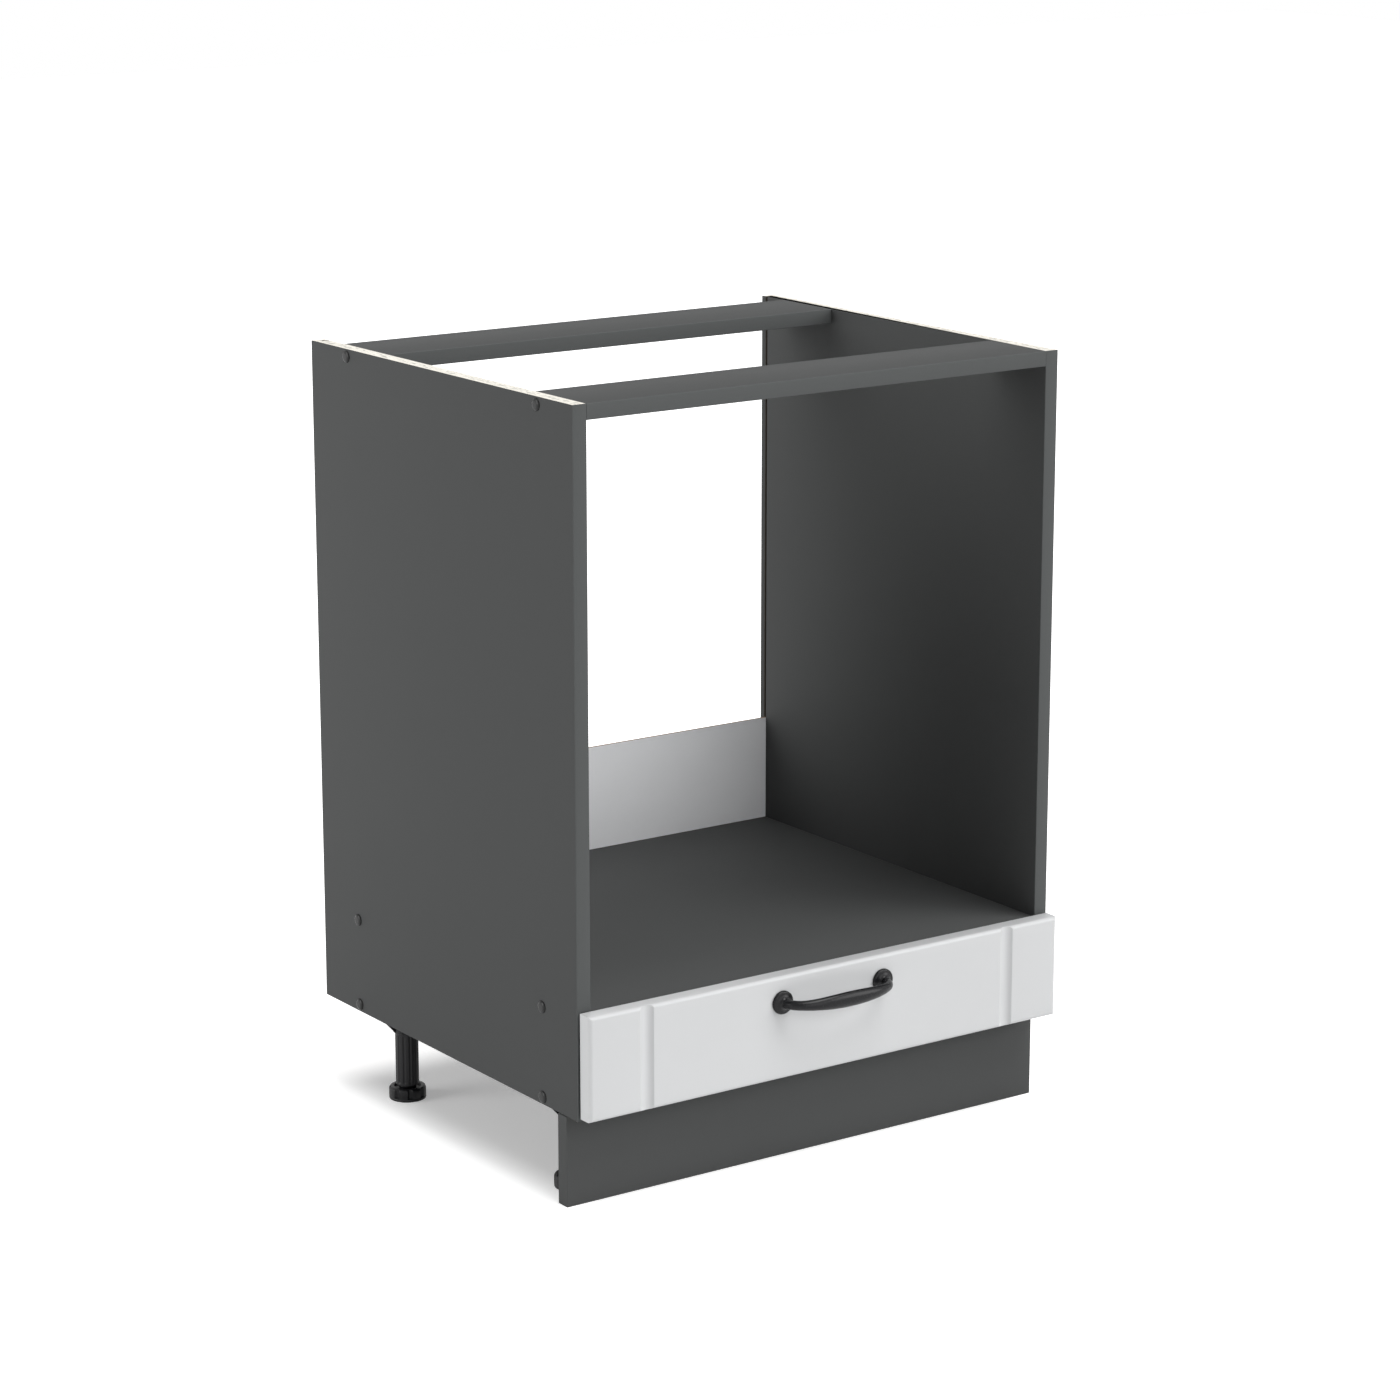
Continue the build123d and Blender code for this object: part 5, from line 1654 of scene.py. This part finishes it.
@dataclass
class DrawerBox:
    """Folded steel walls, chipboard base and back, and the drawer's rails and brackets."""

    lip_z: float = UNDER_Z + 0.026  # underside of the walls' base lip
    wall_height: float = 0.054  # height of the walls above that
    skirt: float = 0.028  # height of the skirt that hangs over the rails
    skirt_in: float = 0.002  # distance of the skirt from the side panel
    wall_in: float = 0.013  # distance of the wall from the side panel
    web_in: float = 0.0118  # distance of the drawer rail's web from the panel
    lip: float = 0.016
    front: float = FRONT_Y + 0.0003  # front end of the walls
    rear: float = FRONT_Y + 0.448  # rear end of the walls
    bend: float = 0.0019  # radius of the walls' bends
    rail_bend: float = 0.001  # radius of the rails' bends

    def wall_skin(self, side: Side) -> Skin:
        """Folded wall: skirt, hood, wall and base lip in one bent sheet, carried along y.

        Args:
            side: Left or right.

        Returns:
            The closed surface.
        """
        half = STEEL / 2
        top = self.lip_z + self.wall_height - half
        line = [(self.skirt_in + half, top + half - self.skirt), (self.skirt_in + half, top),
                (self.wall_in + half, top), (self.wall_in + half, self.lip_z + half),
                (self.wall_in + self.lip, self.lip_z + half)]
        outline = beside_panel(folded(line, self.bend, STEEL), side)
        return prism(outline, "y", self.front, self.rear, EASE)

    def rail_skin(self, side: Side) -> Skin:
        """Drawer rail: web and the flange that rides on the cabinet's roller.

        Args:
            side: Left or right.

        Returns:
            The closed surface.
        """
        low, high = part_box(f"drawer_runner_{side.word}")
        half = STEEL / 2
        line = [(self.web_in + half, low.z), (self.web_in + half, high.z - half),
                (self.skirt_in, high.z - half)]
        outline = beside_panel(folded(line, self.rail_bend, STEEL), side)
        return prism(outline, "y", low.y, high.y, EASE)

    def build(self) -> None:
        """Builds and dresses the drawer box."""
        for side in Side:
            piece(self.wall_skin(side), f"drawer_side_{side.word}", "drawer",
                  [POWDER_COAT], [f"drawer_wall_{side.word}"], 30)
            piece(self.rail_skin(side), f"drawer_rail_{side.word}", "drawer",
                  [POWDER_COAT], [f"drawer_runner_{side.word}"], 30)
            repaint(f"front_bracket_{side.word}", ZINC)
        for node, edges in (("drawer_base", ("+y", "-y")), ("drawer_back", ())):
            lying_board(node, "drawer", PALE_MELAMINE, edges, EDGE)


@dataclass
class Runners:
    """Cabinet rails, nylon rollers and their riveted pins."""

    flange: float = 0.011
    bend: float = 0.001  # radius of the cabinet rails' bends
    front: float = FRONT_Y + 0.003  # front end of the cabinet rails
    rear: float = FRONT_Y + 0.453
    low: float = UNDER_Z + 0.0240
    high: float = UNDER_Z + 0.0440
    window_end: float = FRONT_Y + 0.0255  # rear end of the window for the front roller
    stop_y: float = FRONT_Y + 0.0772  # rear face of the lug that stops the drawer
    stop_drop: float = 0.0062  # how far the lug hangs down
    roller_in: float = 0.003  # distance of the rollers from the side panel
    roller_width: float = 0.007
    roller_radius: float = 0.0085
    groove: float = 0.0006  # depth of the groove in a roller's tread
    pockets: int = 6
    pocket_depth: float = 6e-4
    hub_wall: float = 1.2e-3  # width of the plain ring round the bore
    rim_wall: float = 1.3e-3  # width of the plain ring inside the tread
    roller_soft: float = 4e-4  # slope of the pockets' walls, and bevel of the tread
    pin: float = 0.0025
    pin_head: float = 0.00375  # radius of the pins' heads and shoulders
    pin_head_height: float = 0.0007
    # axes of the cabinet's and of the drawer's rollers on y and z
    cabinet_axis: tuple[float, float] = (FRONT_Y + 0.014, UNDER_Z + 0.036)
    drawer_axis: tuple[float, float] = (FRONT_Y + 0.436, UNDER_Z + 0.034)
    drawer_pin_in: float = 0.013  # distance of the drawer pins' feet from the side panel
    sides: int = 72  # points round a roller

    def rail_skin(self, side: Side) -> Skin:
        """Cabinet rail: a bent C, open on top before the window's end, with a stop lug.

        Args:
            side: Left or right.

        Returns:
            The three closed surfaces as one.
        """
        half = STEEL / 2
        corners = [(self.flange, self.low + half), (half, self.low + half),
                   (half, self.high - half), (self.flange, self.high - half)]
        channel, angle = (beside_panel(folded(line, self.bend, STEEL), side)
                          for line in (corners, corners[:2] + [(half, self.high)]))
        x0, x1 = sorted((side.value * INNER_X, side.value * (INNER_X - self.flange)))
        lug = slab((x0, self.stop_y - STEEL, self.high - self.stop_drop),
                   (x1, self.stop_y, self.high - EASE), "x", EASE)
        return joined([prism(channel, "y", self.window_end, self.rear, EASE),
                       prism(angle, "y", self.front, self.window_end + 1e-3, EASE), lug])

    def roller_skin(self, side: Side, axis: tuple[float, float]) -> Skin:
        """Roller with a grooved tread and shallow pockets between hub and rim.

        The side faces are sunk between hub and rim by a depth that follows a wave round the
        axis, cut off below zero, so that flat spokes stay between the pockets.

        Args:
            side: Left or right.
            axis: (y, z) of its axis.

        Returns:
            The closed surface.
        """
        wave = 1.6 * np.cos(self.pockets * angles(self.sides)[None, :]) + 0.4
        sunk = np.clip(wave, 0, 1) * self.pocket_depth
        r, w, bore = self.roller_radius, self.roller_width, self.pin + GAP
        hub, rim, soft = bore + self.hub_wall, r - self.rim_wall, self.roller_soft
        half = [(bore, EDGE, 0), (bore + EDGE, 0, 0), (hub, 0, 0), (hub + soft, 0, 1),
                (rim - soft, 0, 1), (rim, 0, 0), (r - soft, 0, 0), (r, soft, 0),
                (r, w / 4, 0), (r - self.groove, w / 2 - self.groove, 0)]
        whole = half + [(a, w - b, -c) for a, b, c in half[::-1]]
        rings = stacked([(a, b + c * sunk) for a, b, c in whole], self.sides)
        start = (side.value * (INNER_X - self.roller_in), *axis)
        return hoop(swept_round(*rings, start, (-side.value, 0, 0)))

    def pin_skin(self, side: Side, base: float, way: int, axis: tuple[float, float]) -> Skin:
        """Riveted pin: shaft, shoulder, shaft and a slightly domed head.

        Args:
            side: Left or right.
            base: Distance of its foot from the side panel.
            way: 1 where it points away from the panel, and -1 where it points to it.
            axis: (y, z) of its axis.

        Returns:
            The closed surface.
        """
        shaft, head, tall = self.pin, self.pin_head, self.pin_head_height
        shoulder = self.roller_in - GAP
        end = self.roller_in + self.roller_width + GAP
        outline = [(CLOSE_R, 0), (shaft, 0), (shaft, STEEL), (head, STEEL),
                   (head, shoulder), (shaft, shoulder), (shaft, end), (head, end),
                   (head, end + tall * 0.45), (head * 0.8, end + tall * 0.85),
                   (head * 0.35, end + tall)]
        start = (side.value * (INNER_X - base), *axis)
        return turned(outline, start, (-side.value * way, 0, 0), 40)

    def build(self) -> None:
        """Builds and dresses rails, rollers and pins."""
        fixed, sliding = [], []
        for side in Side:
            piece(self.rail_skin(side), f"cabinet_rail_{side.word}", "cabinet",
                  [POWDER_COAT], [f"cabinet_runner_{side.word}"], 30)
            for kind, axis in (("cabinet", self.cabinet_axis), ("drawer", self.drawer_axis)):
                node = f"{kind}_roller_{side.word}"
                piece(self.roller_skin(side, axis), f"{node}_wheel", node,
                      [NYLON], [node], 30)
            fixed.append(self.pin_skin(side, 0.0, 1, self.cabinet_axis))
            sliding.append(self.pin_skin(side, self.drawer_pin_in, -1, self.drawer_axis))
        piece(joined(fixed), "cabinet_pins", "cabinet", [ZINC],
              ["cabinet_roller_pins"], 30)
        piece(joined(sliding), "drawer_pins", "drawer", [ZINC],
              ["drawer_roller_pins"], 30)


@dataclass
class SmallParts:
    """Screw heads that show, and the bumpers behind the drawer front."""

    legs: list[Leg]  # the four legs, whose plates the leg screws hold
    strip_xs: tuple[float, float, float] = (-0.244, 0.0, 0.244)  # screws of the back strip on x
    strip_zs: tuple[float, float] = (UNDER_Z + 0.008, UNDER_Z + 0.103)
    strip_y: float = FRONT_Y + 0.4925  # rear face of the strip
    # screws of the cabinet rails on y, and their level
    runner_ys: tuple[float, float, float] = (FRONT_Y + 0.035, FRONT_Y + 0.228,
                                             FRONT_Y + 0.421)
    runner_z: float = UNDER_Z + 0.034
    bracket_x: float = 0.2769  # screws of the front brackets on x, to either side
    bracket_zs: tuple[float, float] = (UNDER_Z + 0.0549, UNDER_Z + 0.0699)
    base_x: float = 0.2621  # screws of the drawer base on x, to either side
    # the first and the last of these on y, and how many there are to a side
    base_ys: tuple[float, float] = (FRONT_Y + 0.064, FRONT_Y + 0.382)
    base_count: int = 4
    base_z: float = UNDER_Z + 0.026  # underside of the walls' base lip
    back_x: float = 0.271  # screws of the drawer back on x, to either side
    back_y: float = FRONT_Y + 0.438
    back_zs: tuple[float, float] = (UNDER_Z + 0.0524, UNDER_Z + 0.0728)
    bumper_x: float = 0.292  # bumpers on x, to either side
    bumper_z: float = UNDER_Z + 0.1055
    bumper_radius: float = 0.004
    bumper_height: float = 0.0017
    bumper_swing: float = 1.35  # angle at which the quarter oval of a bumper ends, in radians

    def build(self) -> None:
        """Builds and dresses the screws and bumpers."""
        places = [place for leg in self.legs for place in leg.screw_places()]
        screws("plate_screws", "cabinet", WOOD_SCREW, places, "leg_screws")
        places = [((x, self.strip_y, z), (0, 1, 0)) for x in self.strip_xs
                  for z in self.strip_zs]
        screws("back_screws", "cabinet", WOOD_SCREW, places, "strip_screws")
        places = [((s.value * (INNER_X - STEEL), y, self.runner_z), (-s.value, 0, 0))
                  for s in Side for y in self.runner_ys]
        screws("rail_screws", "cabinet", RUNNER_SCREW, places, "runner_screws")
        places = [((s.value * self.bracket_x, FRONT_Y, z), (0, 1, 0)) for s in Side
                  for z in self.bracket_zs]
        screws("front_screws", "drawer", WOOD_SCREW, places, "bracket_screws")
        places = [((s.value * self.base_x, y, self.base_z), (0, 0, -1)) for s in Side
                  for y in np.linspace(*self.base_ys, self.base_count)]
        places += [((s.value * self.back_x, self.back_y, z), (s.value, 0, 0)) for s in Side
                   for z in self.back_zs]
        screws("box_screws", "drawer", WOOD_SCREW, places, "drawer_box_screws")
        self.bumpers()

    def bumpers(self) -> None:
        """Clear dots: the radius shrinks on a quarter oval as the height grows."""
        swing = np.linspace(0, self.bumper_swing, 8)[:, None]
        outline = np.hstack([self.bumper_radius * np.cos(swing), self.bumper_height
                             * np.sin(swing) / math.sin(self.bumper_swing)])
        skin = joined(turned(outline, (s.value * self.bumper_x, FRONT_REAR_Y, self.bumper_z),
                             (0, 1, 0), 40) for s in Side)
        piece(skin, "bumper_dots", "drawer", [CLEAR], ["front_bumpers"], 40)


# Studio


@dataclass
class Studio:
    """Camera, plain floor, world light and soft lamps.

    Attributes:
        place: Place of the camera.
        yaw: Its turn from straight back towards the right, in degrees.
        pitch: Its tilt below the horizon, in degrees.
        lens: Focal length, in millimetres.
        sensor: Width of the sensor, in millimetres.
        clip: Nearest and farthest distance that it sees.
        ambient: Strength of the world's light on the object.
        suns: For each lamp, its name, direction towards it, strength and angle in degrees.
        floor_half: Half the width of the floor.
        floor_tone: Reflectance of the floor.
        floor_glow: Painted light that the floor under the object adds for the rays that see it.
        far_glow: The same clear of the object, stronger, so that it paints out the object's
            shadow there and the floor shows white.
        fade: Width over which the one passes into the other.
        inset: How far inside the edge of the carcass that begins.
    """

    place: tuple[float, float, float] = (-2.33787, -3.34118, 1.44522)
    yaw: float = 35.023
    pitch: float = 13.826
    lens: float = 101.985
    sensor: float = 36.0
    clip: tuple[float, float] = (0.05, 60.0)
    ambient: float = 0.15
    suns: tuple = (("over", (0.2, -0.35, 1.0), 1.95, 36.0),
                   ("front", (0.0, -1.0, 0.3), 0.75, 45.0),
                   ("right", (0.8, -0.8, 0.45), 1.3, 36.0),
                   ("left", (-1.0, 0.3, 0.25), 1.8, 40.0))
    floor_half: float = 12.0
    floor_tone: float = 0.8
    floor_glow: float = 0.31
    far_glow: float = 0.8
    fade: float = 0.08
    inset: float = 0.05

    def placed(self, name: str, data: bpy.types.ID) -> bpy.types.Object:
        """Puts a camera, lamp or mesh into the scene under a name."""
        thing = bpy.data.objects.new(name, data)
        bpy.context.scene.collection.objects.link(thing)
        return thing

    def camera(self) -> None:
        """Makes the camera and gives it to the scene."""
        made = self.placed("camera", bpy.data.cameras.new("camera"))
        yaw, pitch = math.radians(self.yaw), math.radians(self.pitch)
        view = Vector((math.sin(yaw) * math.cos(pitch), math.cos(yaw) * math.cos(pitch),
                       -math.sin(pitch)))
        made.location = self.place
        made.rotation_euler = view.to_track_quat("-Z", "Y").to_euler()
        made.data.sensor_width = self.sensor
        made.data.lens = self.lens
        made.data.clip_start, made.data.clip_end = self.clip
        bpy.context.scene.camera = made

    def seen(self, graph: Graph) -> bpy.types.NodeSocket:
        """1 for camera, glossy and transmission rays, and 0 for the others."""
        path = graph.add("LightPath")
        first = graph.maths("MAXIMUM", path.outputs["Is Camera Ray"],
                            path.outputs["Is Glossy Ray"])
        return graph.maths("MAXIMUM", first, path.outputs["Is Transmission Ray"])

    def world(self) -> None:
        """White background for what sees it, and the ambient light for the rest."""
        world = bpy.data.worlds.new("studio")
        world.use_nodes = True
        graph = Graph(world.node_tree)
        strength = graph.maths("MULTIPLY_ADD", self.seen(graph), 1 - self.ambient, self.ambient)
        light = graph.add("Background", {"Color": WHITE, "Strength": strength})
        graph.add("OutputWorld", {"Surface": light.outputs[0]})
        bpy.context.scene.world = world

    def from_footprint(self, graph: Graph) -> bpy.types.NodeSocket:
        """Distance on the floor from a rectangle a little inside the carcass, which is the
        root of the summed squares of what lies past its half width and its half depth.

        Args:
            graph: The floor's graph.

        Returns:
            The distance.
        """
        low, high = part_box("side_panel_left")
        place = graph.add("SeparateXYZ", {0: graph.add("TexCoord").outputs["Object"]})
        squares = []
        for i, middle, half in ((0, 0.0, -low.x), (1, (low.y + high.y) / 2,
                                                   (high.y - low.y) / 2)):
            side = graph.maths("ABSOLUTE", graph.maths("SUBTRACT", place.outputs[i], middle))
            past = graph.maths("SUBTRACT", side, half - self.inset)
            past = graph.maths("MAXIMUM", past, 0.0)
            squares.append(graph.maths("MULTIPLY", past, past))
        return graph.maths("SQRT", graph.maths("ADD", *squares))

    def floor_material(self) -> bpy.types.Material:
        """Pale matt finish with the glow added, and clear where it is seen from below."""
        made = bpy.data.materials.new("floor")
        made.use_nodes = True
        graph = Graph(made.node_tree)
        diffuse = graph.add("BsdfDiffuse", {"Color": (self.floor_tone,) * 3 + (1.0,)})
        # Painted light: the glow is weak near the carcass, so its shadow shows there, and strong
        # clear of it, where it paints the shadow out.
        share = graph.ramp(self.from_footprint(graph), 0.0, self.fade, self.floor_glow,
                           self.far_glow)
        strength = graph.maths("MULTIPLY", self.seen(graph), share)
        glow = graph.add("Emission", {"Color": WHITE, "Strength": strength})
        both = graph.add("AddShader", {0: diffuse.outputs[0], 1: glow.outputs[0]})
        back = graph.add("NewGeometry").outputs["Backfacing"]
        clear = graph.add("BsdfTransparent")
        mix = graph.add("MixShader", {0: back, 1: both.outputs[0], 2: clear.outputs[0]})
        graph.add("OutputMaterial", {"Surface": mix.outputs[0]})
        return made

    def floor(self) -> None:
        """Large plain floor that shows white, keeps the shadow near the object, paints it out
        farther off, and is clear from below.
        """
        mesh, half = bpy.data.meshes.new("floor"), self.floor_half
        mesh.from_pydata([(-half, -half, 0), (half, -half, 0), (half, half, 0),
                          (-half, half, 0)], [], [(0, 1, 2, 3)])
        mesh.materials.append(self.floor_material())
        thing = self.placed("floor", mesh)

    def lamps(self) -> None:
        """Soft lamps far away, each from its own direction."""
        for name, direction, strength, angle in self.suns:
            made = self.placed(name, bpy.data.lights.new(name, "SUN"))
            made.data.energy, made.data.angle = strength, math.radians(angle)
            made.rotation_euler = Vector(direction).to_track_quat("Z", "Y").to_euler()

    def build(self) -> None:
        """Builds the studio."""
        self.camera()
        self.world()
        self.floor()
        self.lamps()
        bpy.context.scene.view_settings.view_transform = "Standard"


def main() -> None:
    """Builds every sub-assembly, the studio and the camera."""
    logging.basicConfig(level=logging.INFO, format="%(name)s %(message)s")
    legs = [Leg(side, row) for row in Row for side in Side]
    for part in (Carcass(), *legs, Plinth(), DrawerFront(), BowHandle(), DrawerBox(),
                 Runners(), SmallParts(legs), Studio()):
        part.build()


if __name__ == "__main__":
    main()
